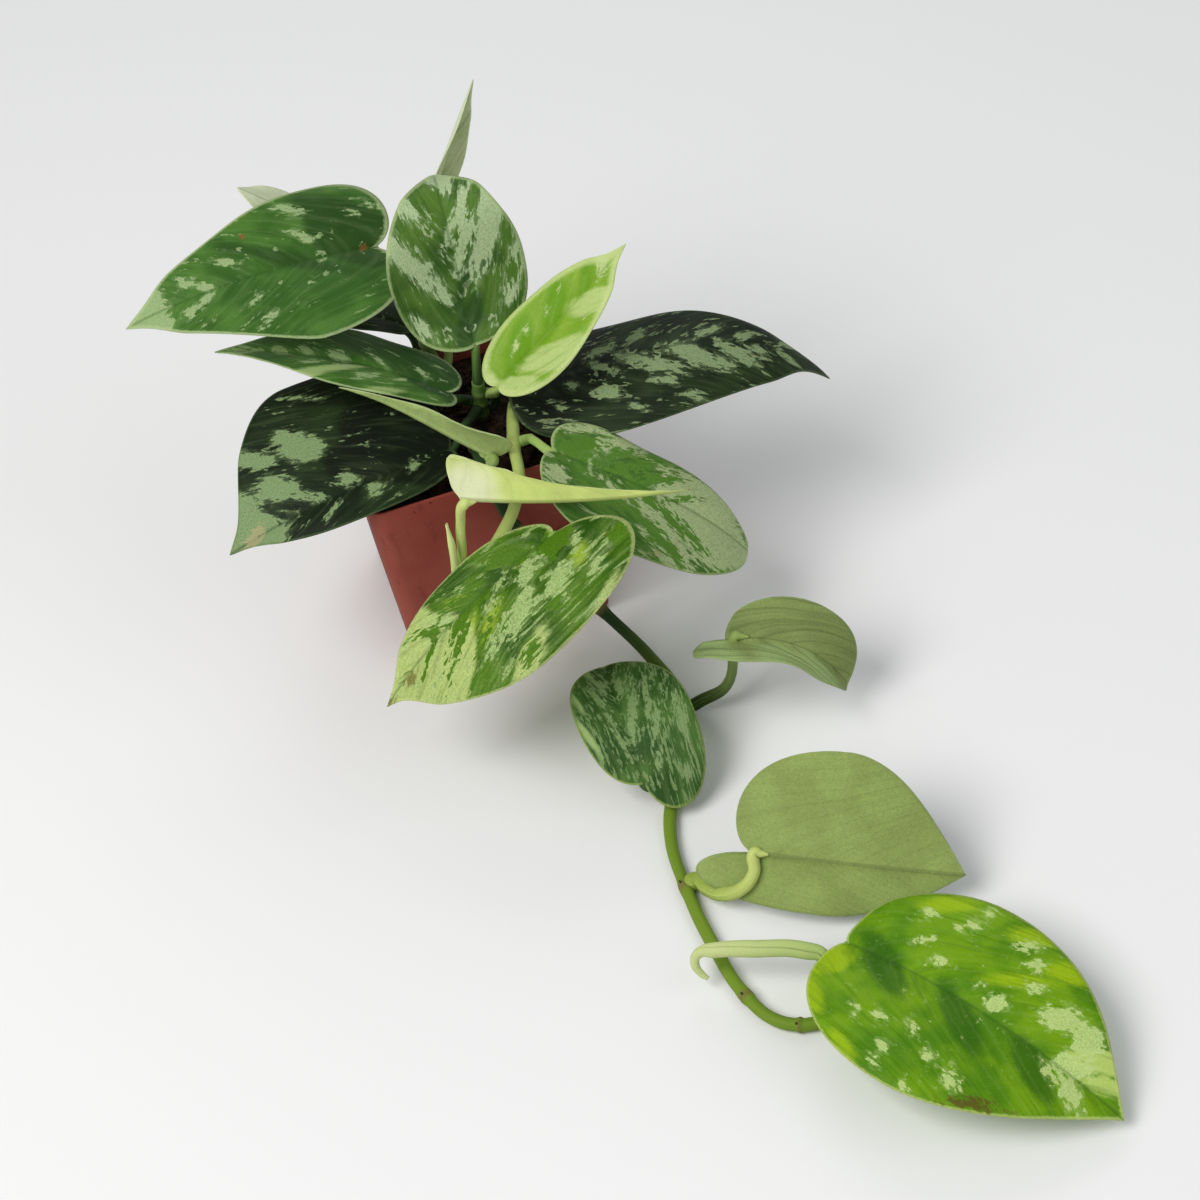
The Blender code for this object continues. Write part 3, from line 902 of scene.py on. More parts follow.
FRONT = replace(
    BRIGHT, green=shade(76, 116, 20), green_far=shade(48, 86, 12), silver=shade(160, 184, 116),
    pale=shade(176, 194, 116), margin=shade(184, 198, 126), lime=shade(150, 178, 52),
    dark=shade(42, 80, 12), brown=shade(112, 104, 48), stretch=3.0, cell=1.2, cell_stretch=1.8,
    broken=1.3, fleck=0.58, streaked=0.2, grainy=1.3,
)
YOUNG = LeafFinish(
    green=shade(134, 170, 54), green_far=shade(120, 160, 42), silver=shade(188, 206, 140),
    pale=shade(182, 202, 126), margin=shade(194, 210, 138), back=shade(160, 186, 112),
    stalk=shade(120, 146, 76), stalk_end=shade(168, 192, 108), dark=shade(100, 150, 18), fleck=0.7,
    rib=shade(120, 156, 50), margin_width=2.6, margin_share=0.8,
)
CREAM = LeafFinish(
    green=shade(190, 202, 118), green_far=shade(182, 196, 106), silver=shade(212, 220, 166),
    pale=shade(224, 226, 190), margin=shade(214, 220, 164), back=shade(184, 198, 112),
    stalk=shade(172, 192, 92), stalk_end=shade(196, 208, 126), rib=shade(170, 194, 100), fleck=0.8,
    ribbed=0.08, rough_back=0.25,
)
# Pale young leaves, their colours raised further as painted light, for the light that shines through the
# thin blades.
SPIKE = LeafFinish(
    green=shade(190, 202, 150), green_far=shade(170, 186, 130), silver=shade(196, 206, 160),
    pale=shade(200, 210, 166), margin=shade(214, 222, 186), back=shade(212, 220, 184),
    stalk=shade(140, 160, 92), stalk_end=shade(180, 194, 140), fleck=0.8, rough_back=0.3, ribbed=0.05,
)
PALE_GREEN = LeafFinish(
    green=shade(158, 176, 112), green_far=shade(136, 156, 92), silver=shade(178, 194, 136),
    pale=shade(182, 196, 138), margin=shade(182, 196, 140), back=shade(162, 182, 112),
    stalk=shade(140, 160, 92), stalk_end=shade(150, 172, 104), rib=shade(124, 148, 78), fleck=0.74,
)
PALE_BACK = LeafFinish(
    green=shade(64, 106, 42), green_far=shade(50, 92, 36), silver=shade(158, 180, 126),
    pale=shade(160, 184, 120), margin=shade(150, 168, 104), back=shade(134, 152, 84),
    stalk=shade(146, 168, 72), stalk_end=shade(194, 206, 120), ribbed=0.12,
)
# The petiole's dark start is partly its own green and partly painted shade, for the shadowed underside of
# the stalk.
RIBBED_BACK = replace(
    PALE_BACK, back=shade(122, 138, 80), ribbed=0.45, stalk=shade(46, 70, 26),
    stalk_end=shade(142, 162, 92),
)


@dataclass(frozen=True)
class LeafPlan:
    """A leaf: its petiole's route from a stem, its blade from base to tip, and its marks.

    right and left are the half widths on each side of the midrib, seen from above with the tip ahead.
    roll turns the blade about its chord, arch lifts the midrib as a share of the length, highest at
    peak, and fold raises a half at the midrib, with cup bending it on towards the margin. lobe is how
    far a lobe reaches back, sinus how wide the notch between the lobes opens, widest where a half is
    widest, drip how far the tip is drawn in, and shoulder and tip_handle are the outline's handles
    between the two. The petiole starts wrap inside the stem's skin, with a sheath that fades over
    sheath_reach, meets the blade inset from its base and runs on under it for tail. A mark is its row
    from base to tip and its share of the half width, both in hundredths and the share negative on the
    left, and its two radii. soft_marks lets the marks fade instead of ending at an edge.
    """

    name: str
    slot: str
    finish: LeafFinish
    stem: StemPlan
    knot: int
    leave: Triple
    route: tuple[Triple, ...]
    base: Triple
    tip: Triple
    right: float
    left: float
    roll: float = 0.0
    arch: float = 0.06
    peak: float = 0.5
    fold: float = 12.0
    fold_left: float = 12.0
    cup: float = -20.0
    cup_left: float = -20.0
    lobe: float = 0.12
    lobe_left: float = 0.12
    widest: float = 0.34
    widest_left: float = 0.34
    vein_angle: float = 33.0
    sinus: float = 0.10
    tail: float = 9.0
    drip: float = 0.4
    shoulder: tuple[float, float] | None = None
    tip_handle: tuple[float, float] = (0.87, 0.40)
    stalk_radius: float = 1.7
    sheath: float = 0.5
    sheath_reach: float = 7.0
    inset: float = 0.0
    wrap: float = 0.6
    soft_marks: bool = False
    marks: tuple[tuple[Kind, tuple[Spot, ...]], ...] = ()


LEAVES = (
    LeafPlan(
        "leaf_01_upper_left", "green_leaf", FIRST_LEAF, BACK_STEM, 5, (0, 0, 1),
        ((-8, 33, 124), (-13, 36, 137)), (-16, 36, 150), (-116, 20, 148), 33.5, 37, roll=-20, arch=0.07,
        lobe=0.10, lobe_left=0.08, widest=0.12, widest_left=0.3, shoulder=(0.42, 0.98),
        tip_handle=(0.84, 0.40), drip=0.3,
        marks=(
            (Kind.SILVER, (
                (95, 10, 14, 9), (90, 70, 9, 6), (91, -40, 9, 6), (48, 75, 6, 2), (40, 33, 6, 2),
                (65, 38, 5, 1.6), (77, 38, 4, 2), (72, 10, 4, 1.6), (58, -71, 4, 2), (78, -33, 5, 2),
                (28, 67, 4, 1.2), (22, 93, 7, 1.2), (58, -38, 4, 1.2), (73, -17, 5, 2),
                (38, -33, 3, 1))),
            (Kind.DARK, (
                (15, 40, 24, 14), (32, 60, 20, 8), (45, 12, 24, 3))),
            (Kind.BROWN, (
                (60, 62, 1.8, 0.9), (8, 10, 2, 1))),
        ),
    ),
    LeafPlan(
        "leaf_02_top", "silver_leaf", TOP_LEAF, CROWN_STEM, 5, (0, 0, 1), ((14, -1, 112),),
        (15, 0, 120), (13, 51, 167), 27, 27, arch=0.42, peak=0.74, lobe=0.0, lobe_left=0.03,
        widest=0.42, widest_left=0.42,
        marks=(
            (Kind.SILVER, (
                (52, -67, 12, 3.4), (46, -38, 10, 2.4), (73, -88, 6, 3), (68, 6, 7, 1.4),
                (52, 6, 5, 1.2), (57, 60, 18, 4), (73, 50, 9, 3), (43, 93, 16, 4), (66, 93, 9, 5),
                (35, 75, 5, 2.4), (38, -29, 5, 2), (88, 50, 13, 4.6), (93, -20, 10, 4.6),
                (30, -80, 6, 2), (56, -93, 12, 3), (62, 30, 10, 2))),
            (Kind.GREEN, (
                (80, -29, 7, 4), (72, 75, 5, 1.6), (40, 79, 5, 2.4))),
            (Kind.DARK, (
                (22, 4, 12, 4), (45, 12, 12, 2.5))),
        ),
    ),
    LeafPlan(
        "leaf_03_young", "young_leaf", YOUNG, CROWN_STEM, 4, (1, -0.3, 0), ((17, -9, 103),),
        (21, -16, 111), (80, 0, 153), 17, 16, roll=35, arch=-0.04, fold=30, fold_left=10, lobe=0.03,
        lobe_left=0.05,
        marks=(
            (Kind.PALE, (
                (45, 80, 22, 6.4), (70, 66, 14, 5), (20, 80, 12, 6), (10, -96, 4, 3), (93, 20, 8, 4))),
            (Kind.SILVER, (
                (40, -46, 2, 1), (33, -42, 2, 1), (52, -42, 2, 1), (85, -40, 7, 2))),
            (Kind.DARK, (
                (32, -30, 15, 5), (55, -30, 14, 4), (75, -30, 10, 2.4))),
        ),
    ),
    LeafPlan(
        "leaf_04_right", "dark_leaf", DARK, CROWN_STEM, 2, (1, 0.5, 0), ((20, 3, 93),),
        (29, -3.5, 101.5), (150, -8.5, 73.5), 33, 27, roll=8, arch=0.17, peak=0.62, fold=-2,
        fold_left=-5, lobe=0.05, lobe_left=0.04, widest=0.28, widest_left=0.22,
        marks=(
            # Painted shade: these darker patches near the base stand for the crown's shadow on the blade.
            (Kind.DARK, (
                (12, 10, 26, 20), (35, -60, 24, 8))),
            (Kind.SILVER, (
                (27, 29, 3, 2), (38, 46, 5, 3), (48, 17, 13, 3.4), (60, 20, 12, 4), (72, 30, 10, 3),
                (67, 46, 6, 2), (45, 75, 4, 1.4), (78, 17, 5, 2), (65, -29, 6, 2), (75, -29, 5, 2),
                (52, 50, 5, 2), (37, -29, 5, 2), (28, 62, 3, 1.2), (58, 88, 4, 1.2), (48, -42, 6, 2),
                (85, -80, 5, 2), (33, 5, 5, 1.6), (86, 30, 5, 2))),
        ),
    ),
    LeafPlan(
        "leaf_05_lower_left", "dark_leaf", SHADED, CROWN_STEM, 3, (-0.6, -1, 0), ((4, -14, 93),),
        (-3, -27, 94), (-94, -50, 84), 53, 15, roll=-20, arch=0.06, lobe=0.05, lobe_left=0.03,
        widest=0.5,
        marks=(
            (Kind.SILVER, (
                (93, 50, 12, 10), (80, -80, 10, 4), (55, 50, 9, 6), (68, 71, 6, 4), (72, 42, 9, 5),
                (50, 8, 4, 3), (43, -33, 4, 3), (65, 8, 6, 2), (27, -21, 3, 2), (83, 92, 8, 6),
                (87, 30, 11, 7), (72, 98, 7, 4), (93, -30, 8, 5), (43, 88, 7, 1), (40, 79, 5, 1),
                (57, 67, 4, 3), (60, -46, 5, 1))),
            # Painted shade: these darker patches near the base and on the right stand for the crown's
            # shadow on the blade.
            (Kind.DARK, (
                (20, 40, 30, 24), (38, 10, 22, 10), (40, 90, 20, 8))),
            (Kind.BROWN, ((90, 10, 5, 3),)),
        ),
    ),
    LeafPlan(
        "leaf_06_left", "green_leaf", GREEN, CROWN_STEM, 3, (-1, 0.5, 0), (), (1, -7, 106),
        (-85, 15, 132), 24, 20, roll=12, arch=0.06, lobe=0.06, lobe_left=0.06,
        marks=(
            (Kind.SILVER, (
                (77, 4, 4, 2), (67, 12, 4, 2), (55, 6, 5, 3), (40, 17, 5, 1.2), (42, -50, 5, 2),
                (33, -33, 4, 1.2), (87, -25, 5, 2), (93, -30, 7, 3), (25, 33, 4, 1.2),
                (50, -30, 4, 1.5), (62, -40, 4, 1.5))),
            (Kind.PALE, (
                (60, -95, 24, 3), (40, -97, 14, 3))),
            (Kind.DARK, (
                (25, 50, 26, 14), (50, 80, 24, 9))),
        ),
    ),
    LeafPlan(
        "leaf_07_pale_left", "pale_leaf", PALE_GREEN, TRAILING_VINE, 3, (1, -0.3, 0.6), (),
        (13, -38.5, 96), (-38, -28, 136), 8, 20, roll=30, arch=0.03, peak=0.68, tail=4.0, inset=1.5,
        fold=40, fold_left=40, lobe=0.06, lobe_left=0.06, widest=0.1, widest_left=0.1,
        shoulder=(0.28, 0.62), tip_handle=(0.6, 0.36),
    ),
    LeafPlan(
        "leaf_08_folded", "pale_leaf", CREAM, YOUNG_SHOOT, 7, (-1, 0.5, 0.8),
        ((-6, -67.2, 74), (-3.5, -69.5, 92)), (-1, -72, 107), (84, -84, 98), 16.5, 17, roll=-61,
        arch=-0.03, fold=50, fold_left=50, cup=45, cup_left=45, lobe=0.06, lobe_left=0.06, widest=-0.05,
        widest_left=-0.05, sinus=0.5, shoulder=(0.12, 0.85), tip_handle=(0.3, 0.3), stalk_radius=2.0,
        tail=4.0, inset=2.0, soft_marks=True,
        marks=(
            (Kind.PALE, (
                (2, 60, 14, 14), (2, -60, 14, 14))),
        ),
    ),
    LeafPlan(
        "leaf_09_right_front", "silver_leaf", SILVERED, YOUNG_SHOOT, 3, (1, 0, 0.2), ((30, -41, 101),),
        (37, -49.5, 101), (102.4, -67.5, 45.5), 33, 20, roll=4, arch=0.06, peak=0.6, fold=5, lobe=0.07,
        lobe_left=0.04, tip_handle=(1.0, 0.7), drip=0.0, widest=0.4, widest_left=0.2,
        marks=(
            (Kind.SILVER, (
                (75, 10, 24, 16), (75, -40, 20, 10), (44, -75, 18, 5), (56, 40, 12, 6), (38, 25, 7, 2),
                (60, 83, 13, 7), (20, 62, 5, 4), (23, 92, 5, 4), (50, 62, 4, 2), (90, 40, 14, 10),
                (35, -90, 12, 3))),
            (Kind.GREEN, (
                (25, -50, 9, 5), (43, -25, 8, 2.4), (40, 42, 5, 3), (55, 67, 9, 3), (53, 21, 8, 1.4),
                (48, 50, 4, 2), (66, -10, 8, 1.2), (47, 5, 10, 2.6), (55, -30, 9, 2), (62, 35, 9, 2.2),
                (35, 50, 9, 4), (70, 50, 8, 2), (60, 75, 9, 2.4), (42, -55, 7, 2))),
            (Kind.BROWN, ((53, 92, 2, 1),)),
        ),
    ),
    LeafPlan(
        "leaf_10_front", "bright_leaf", FRONT, YOUNG_SHOOT, 6, (0.2, -1, 0),
        ((4, -79, 63), (20, -84, 78)), (30, -84, 90.5), (-46, -106, 41), 16, 42, roll=-15, arch=0.08,
        lobe=0.02, lobe_left=0.27, widest=0.5, tip_handle=(0.86, 0.34), stalk_radius=1.9,
        marks=(
            (Kind.PALE, (
                (86, 0, 26, 20), (66, 90, 18, 8), (74, -60, 26, 16), (48, -98, 20, 5),
                (34, -100, 12, 3))),
            (Kind.SILVER, (
                (30, -21, 7, 4), (32, -55, 8, 4.4), (28, -75, 6, 3), (23, -25, 4, 3), (40, -46, 11, 5),
                (35, -67, 5, 3), (23, -79, 3, 2), (17, -50, 4, 2), (52, -55, 9, 3), (40, -10, 9, 2),
                (33, 40, 7, 1.6), (62, 10, 8, 2))),
            (Kind.LIME, (
                (48, -33, 10, 3), (57, -25, 9, 3), (50, 25, 7, 2), (25, -58, 5, 3))),
            (Kind.DARK, (
                (10, -55, 12, 10), (17, -95, 16, 5), (8, 50, 14, 4), (30, 10, 20, 1.6))),
            (Kind.GREEN, (
                (43, -83, 6, 3.4), (36, -67, 3, 2.4), (30, 29, 8, 3), (58, -6, 12, 1.8),
                (12, -30, 10, 6), (20, -92, 8, 4), (62, -30, 12, 1.6), (66, 40, 10, 1.4),
                (52, -40, 8, 1.4), (58, -78, 6, 2), (50, 10, 12, 2), (74, -10, 10, 1.2))),
            (Kind.BROWN, (
                (85, -21, 4, 2.4), (98, -20, 3, 2))),
        ),
    ),
    LeafPlan(
        "leaf_11_vine", "green_leaf", VINE_GREEN, TRAILING_VINE, 11, (-1, 0, 0.6), (), (44, -148, 14),
        (38, -98, 30), 27, 18, arch=0.12, lobe=0.25, lobe_left=0.0, widest_left=0.6, vein_angle=16,
        tip_handle=(0.97, 0.8), drip=0.0,
        marks=(
            (Kind.SILVER, (
                (68, 54, 7, 1.4), (78, 17, 5, 1.4), (45, 42, 8, 1.6), (42, 79, 6, 2), (47, 6, 7, 2),
                (68, -46, 6, 1.4), (53, 79, 5, 1.2), (30, 79, 4, 2), (30, 38, 5, 1.4), (58, 42, 6, 1.2),
                (52, -29, 5, 1.4), (60, 20, 9, 2), (35, -20, 7, 1.4), (37, 79, 3, 1),
                (80, -40, 5, 1.4))),
            (Kind.PALE, (
                (38, -86, 9, 1.2), (87, -95, 6, 1.4), (60, -93, 8, 1.4))),
            (Kind.DARK, (
                (80, -30, 12, 5), (70, 50, 9, 3), (15, 60, 8, 6))),
        ),
    ),
    LeafPlan(
        "leaf_12_vine", "leaf_underside", RIBBED_BACK, TRAILING_VINE, 9, (1, 0, 0.4), ((83, -106, 14),),
        (89, -107, 38), (128, -121, 16), 18.5, 17, roll=180, arch=-0.2, fold=-30, fold_left=-8,
        widest=0.5, drip=0.0, lobe=0.10, lobe_left=0.34, sinus=-0.3, tip_handle=(0.98, 0.8), tail=5.0,
        sheath_reach=14, stalk_radius=2.1, inset=1.4, soft_marks=True,
        marks=(
            (Kind.PALE, (
                (15, -90, 16, 8), (30, -90, 18, 9), (50, -90, 18, 9), (70, -80, 14, 7))),
        ),
    ),
    LeafPlan(
        "leaf_13_vine", "leaf_underside", PALE_BACK, TRAILING_VINE, 13, (1, 0, 0.3),
        ((59, -198, 5.5), (64, -205, 8.5), (71.5, -208.5, 14), (76, -206.5, 18.5)), (77, -200, 22),
        (150, -225, 14), 40, 20, roll=-135, arch=-0.06, widest=0.42, drip=0.0, lobe_left=0.28,
        stalk_radius=2.3, sheath=1.1, sheath_reach=26, tail=5.0, inset=2.0, wrap=3.4,
    ),
    LeafPlan(
        "leaf_14_vine_end", "bright_leaf", BRIGHT, TRAILING_VINE, 18, (1, 0, 0), ((96, -262, 9),),
        (102, -248, 19), (177, -337, 6), 44.5, 40, arch=0.08, lobe=0.03, lobe_left=0.03, widest=0.42,
        widest_left=0.42, drip=0.1,
        marks=(
            (Kind.SILVER, (
                (30, -71, 3, 2), (32, -38, 4, 1.6), (38, -21, 4, 1.2), (38, -67, 4, 2.4),
                (38, -88, 3, 2), (58, -17, 4, 3), (48, -79, 4, 2.4), (60, -54, 3.4, 2.2),
                (70, -54, 8, 4.4), (83, -17, 7, 4), (85, 42, 8, 3.4), (33, 67, 2.4, 2),
                (37, 54, 3.4, 2), (40, 75, 3, 2), (50, 62, 3.4, 2), (57, 75, 4, 3), (47, 94, 2.4, 1.4),
                (40, 90, 2.4, 1.4), (43, 46, 2.4, 1.6), (78, -67, 6, 6), (78, 20, 5, 1.4),
                (50, -21, 2, 1), (54, -70, 4, 2))),
            (Kind.PALE, (
                (84, -80, 14, 4), (90, -50, 8, 3))),
            (Kind.LIME, (
                (33, -86, 11, 4.6), (60, -92, 10, 5), (14, 82, 9, 9), (56, -50, 12, 3), (24, 97, 10, 4),
                (47, -92, 10, 4), (36, 97, 10, 3.4))),
            (Kind.DARK, (
                (25, 12, 18, 6), (53, 18, 18, 5), (75, 30, 14, 6))),
            (Kind.BROWN, ((63, 92, 10, 2),)),
        ),
    ),
    LeafPlan(
        "leaf_16_back", "dark_leaf", DARK, BACK_STEM, 3, (-1, 0.4, 0), ((-9, 36, 99),), (-11, 41, 105),
        (-62, 62, 112), 16, 12, roll=10, arch=0.06, lobe=0.06, lobe_left=0.06,
    ),
    LeafPlan(
        "leaf_17_behind", "leaf_underside", SPIKE, BACK_STEM, 4, (-0.3, 1, 0),
        ((-4, 46, 113), (-14, 62, 123)), (-20, 66, 128), (-64, 64, 171.5), 18, 18, roll=180, arch=0.0,
        tip_handle=(0.9, 0.75), drip=0.2,
    ),
    LeafPlan(
        "leaf_18_spike", "leaf_underside", SPIKE, BACK_STEM, 2, (0.8, 0.6, 0),
        ((3, 40, 92), (-1, 56, 104)), (-5, 66, 120), (36, 68, 195), 12, 12, roll=140, arch=0.0, fold=28,
        fold_left=28, lobe=0.03, lobe_left=0.03,
    ),
)


@dataclass
class BladeForm:
    """The curved sheet that a blade follows, the same as the model's.

    lobe_share is the part of the outline's rows that goes round the lobe, row_ease crowds the rows at
    the base, sweep_ease bends them towards the tip, and the tip is drawn in over drip_reach from
    drip_from on.
    """

    plan: LeafPlan
    lobe_share: float = 5 / 12
    row_ease: float = 1.25
    sweep_ease: float = 1.2
    lobe_pull: float = -1.45
    shoulder_share: float = 0.42
    drip_from: float = 0.78
    drip_reach: float = 0.17
    step: float = 0.01

    def __post_init__(self) -> None:
        """Set out the blade's length, axis and face direction."""
        self.base = Vector(self.plan.base)
        chord = Vector(self.plan.tip) - self.base
        self.length = chord.length
        self.axis = chord.normalized()
        upright = Vector((0, 0, 1))
        face = (upright - self.axis * upright.dot(self.axis)).normalized()
        self.face = Matrix.Rotation(math.radians(self.plan.roll), 3, self.axis) @ face

    def outline(self, t: float, lobe: float, widest: float) -> tuple[float, float]:
        """Point of a half outline.

        Args:
            t: how far round it lies, from the sinus at 0 to the tip at 1.
            lobe: how far the lobe reaches back.
            widest: where the half is widest.

        Returns:
            The share of the length and of the half width.
        """
        if t < self.lobe_share:
            back = self.lobe_pull * lobe
            handles = ((0.0, 0.0), (back, self.plan.sinus), (back, 1.0), (widest, 1.0))
            u = t / self.lobe_share
        else:
            shoulder = self.plan.shoulder or (widest + self.shoulder_share * (1 - widest), 1.0)
            handles = ((widest, 1.0), shoulder, self.plan.tip_handle, (1.0, 0.0))
            u = (t - self.lobe_share) / (1 - self.lobe_share)
        weights = ((1 - u) ** 3, 3 * u * (1 - u) ** 2, 3 * u * u * (1 - u), u ** 3)
        s = sum(weight * handle[0] for weight, handle in zip(weights, handles))
        width = sum(weight * handle[1] for weight, handle in zip(weights, handles))
        return s, width * (1 - self.plan.drip * eased(within((s - self.drip_from) / self.drip_reach)))

    def midrib(self, s: float) -> Vector:
        """Find a point of the midrib.

        Args:
            s: the share of the length, which may pass the ends.

        Returns:
            The point.
        """
        plan = self.plan
        inside = within(s)
        low = max(1.0, plan.peak / (1 - plan.peak))
        high = max(1.0, (1 - plan.peak) / plan.peak)
        top = plan.peak ** low * (1 - plan.peak) ** high
        rise = plan.arch * inside ** low * (1 - inside) ** high / top
        return self.base + self.length * (self.axis * s + self.face * rise)

    def frame(self, s: float) -> tuple[Vector, Vector, Vector]:
        """Find the sheet's directions at a place on the midrib.

        Args:
            s: the share of the length.

        Returns:
            The tangent, the side and the normal.
        """
        inside = within(s, self.step, 1 - self.step)
        ahead = (self.midrib(inside + self.step) - self.midrib(inside - self.step)).normalized()
        normal = (self.face - ahead * self.face.dot(ahead)).normalized()
        return ahead, ahead.cross(normal), normal

    def place(self, s: float, out: float) -> Vector:
        """Find a point of the sheet.

        Args:
            s: the share of the length.
            out: the signed share of the half width on its side.

        Returns:
            The point.
        """
        plan = self.plan
        ahead, side, normal = self.frame(s)
        start = self.midrib(max(s, 0.0)) + ahead * self.length * min(s, 0.0)
        half, fold, cup = plan.left, plan.fold_left, plan.cup_left
        if out > 0:
            half, fold, cup = plan.right, plan.fold, plan.cup
        reach = abs(out)
        bend = math.radians(cup) * reach
        slope = math.radians(fold) + bend / 2
        chord = reach * half * (1 - bend * bend / 24)
        aside = math.copysign(math.cos(slope) * chord, out)
        return start + side * aside + normal * math.sin(slope) * chord

    def spot(self, t: float, share: float) -> Spot:
        """Where a row and a signed share of the half width lie.

        Args:
            t: the row, from the base at 0 to the tip at 1.
            share: the signed share of the row's width.

        Returns:
            The share of the length, the signed share of the half width, and the millimetres from
            the midrib and to the margin.
        """
        plan = self.plan
        lobe, widest, half = plan.lobe_left, plan.widest_left, plan.left
        if share > 0:
            lobe, widest, half = plan.lobe, plan.widest, plan.right
        edge_s, edge_w = self.outline(t, lobe, widest)
        rib_s = t ** self.row_ease
        s = rib_s + (edge_s - rib_s) * abs(share) ** self.sweep_ease
        width = edge_w * half
        return s, share * edge_w, share * width, (1 - abs(share)) * width


@dataclass
class Leaf:
    """One leaf: a fine blade with relief, grown together with its petiole.

    seed shifts the random forms and markings from leaf to leaf. The blade thins from thickness to
    margin_thickness over rim_reach, and the relief fades out beside the midrib over calm_reach. The
    petiole lies stalk_gap under the blade and floor_gap above the floor, leaves the stem straight for
    stalk_lead, and swells by stalk_swell under the blade. Its foot opens from foot_opening on, and
    its tail passes tail_knots: shares of its length, and how far each rises into the blade.
    """

    plan: LeafPlan
    seed: float
    rows: int = 60
    columns: int = 18
    column_ease: float = 1.15
    thickness: float = 0.9
    margin_thickness: float = 0.4
    groove: float = 0.45
    groove_width: float = 1.1
    rib_ridge: float = 0.5
    pleat: float = 0.1
    pleat_pitch: float = VEIN_PITCH
    sway: float = 0.9
    margin_wave: float = 0.7
    vein_bow: float = 0.55
    rim_reach: float = 3.0
    calm_reach: float = 8.0
    stalk_lead: float = 2.5
    stalk_steps: int = 8
    tail_knots: tuple[tuple[float, float], ...] = ((0.45, 0.4), (1.0, 1.0))
    stalk_gap: float = 0.15
    stalk_groove: float = 0.14
    stalk_swell: float = 0.22
    stalk_thinned: float = 0.8
    foot_opening: float = 0.35
    floor_gap: float = 0.4

    def build(self) -> bpy.types.Object:
        """Build and dress the leaf.

        Returns:
            The piece, which rides on the plant's body.
        """
        plan = self.plan
        draft = Draft()
        self.blade(draft)
        length = self.petiole(draft)
        finish = plan.finish
        stalk = StemFinish(finish.stalk, finish.stalk_end, self.seed)
        materials = (
            finish.face(plan.name + "_face", self.seed),
            finish.underside(plan.name + "_back", self.seed),
            stalk.material(plan.name + "_petiole", length),
        )
        piece = draft.made(plan.name + "_look", materials)
        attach(piece, BODY)
        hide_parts(plan.name)
        return piece

    def blade(self, draft: Draft) -> None:
        """Add the blade's two faces and its rim.

        Args:
            draft: the leaf's mesh.
        """
        form = BladeForm(self.plan)
        marks = self.placed_marks(form)
        top_rows: list[list[int]] = []
        under_rows: list[list[int]] = []
        sheet, spots = self.sheet(form)
        for i, row in enumerate(sheet):
            tops: list[int] = []
            unders: list[int] = []
            for j, place in enumerate(row):
                s, across, edge, lane, run = spots[i][j]
                if i in (0, self.rows) and j:
                    tops.append(tops[0])
                    unders.append(unders[0])
                    continue
                normal = self.normal(form, sheet, i, j, s)
                inward = min(edge / self.rim_reach, 1.0)
                half = (self.margin_thickness + (self.thickness - self.margin_thickness) * inward) / 2
                near_rib = bell(across, self.groove_width) * (1 - 0.8 * within(s))
                relief = self.relief(s, across, edge, lane) - self.groove * near_rib
                values = {
                    "sheet": (s * form.length, across, edge),
                    "vein": (lane, run, s),
                    **self.mark_values(marks, s * form.length, across),
                }
                tops.append(draft.point(place + normal * (relief + half), values))
                under = relief - half - self.rib_ridge * near_rib
                unders.append(draft.point(place + normal * under, values))
            top_rows.append(tops)
            under_rows.append([*reversed(unders)])
        draft.skin(top_rows, 0)
        draft.skin(under_rows, 1)
        draft.skin([[row[0] for row in top_rows], [row[-1] for row in under_rows]], 0)
        draft.skin([[row[0] for row in under_rows], [row[-1] for row in top_rows]], 0)

    def sheet(self, form: BladeForm) -> tuple[list[list[Vector]], list[list[tuple[float, ...]]]]:
        """Lay out the blade's middle surface.

        Args:
            form: the sheet that the blade follows.

        Returns:
            Rows of places, and for each place its share of the length, millimetres from the midrib
            and to the margin, lane across the veins and run along them.
        """
        angle = math.radians(self.plan.vein_angle)
        places: list[list[Vector]] = []
        spots: list[list[tuple[float, ...]]] = []
        for i in range(self.rows + 1):
            t = i / self.rows
            rib = t ** form.row_ease * form.length
            row: list[Vector] = []
            facts: list[tuple[float, ...]] = []
            for j in range(-self.columns, self.columns + 1):
                share = math.copysign((abs(j) / self.columns) ** self.column_ease, j)
                s, out, across, edge = form.spot(t, share)
                reach = abs(across)
                half = self.plan.right if across > 0 else self.plan.left
                lean = reach * (0.75 + self.vein_bow * reach / half)
                lane = rib * math.sin(angle) - lean * math.cos(angle)
                run = rib * math.cos(angle) + reach * math.sin(angle)
                tip_gap = (1 - s) * form.length * 0.5 + 0.1
                row.append(form.place(s, out))
                facts.append((s, across, min(edge, tip_gap) if i else 2.0, lane, run))
            places.append(row)
            spots.append(facts)
        return places, spots

    def normal(
        self, form: BladeForm, sheet: Sequence[Sequence[Vector]], i: int, j: int, s: float
    ) -> Vector:
        """Find the normal of the middle surface at one of its points.

        Args:
            form: the sheet that the blade follows.
            sheet: the surface's points.
            i: the row.
            j: the place in the row.
            s: its share of the length.

        Returns:
            The normal, on the face's side.
        """
        straight = form.frame(s)[2]
        if i in (0, self.rows):
            return straight
        row = sheet[i]
        across = row[min(j + 1, len(row) - 1)] - row[max(j - 1, 0)]
        ahead = sheet[min(i + 1, self.rows)][j] - sheet[max(i - 1, 0)][j]
        normal = across.cross(ahead)
        if normal.length < 1e-6:
            return straight
        normal.normalize()
        return normal if normal.dot(straight) > 0 else -normal

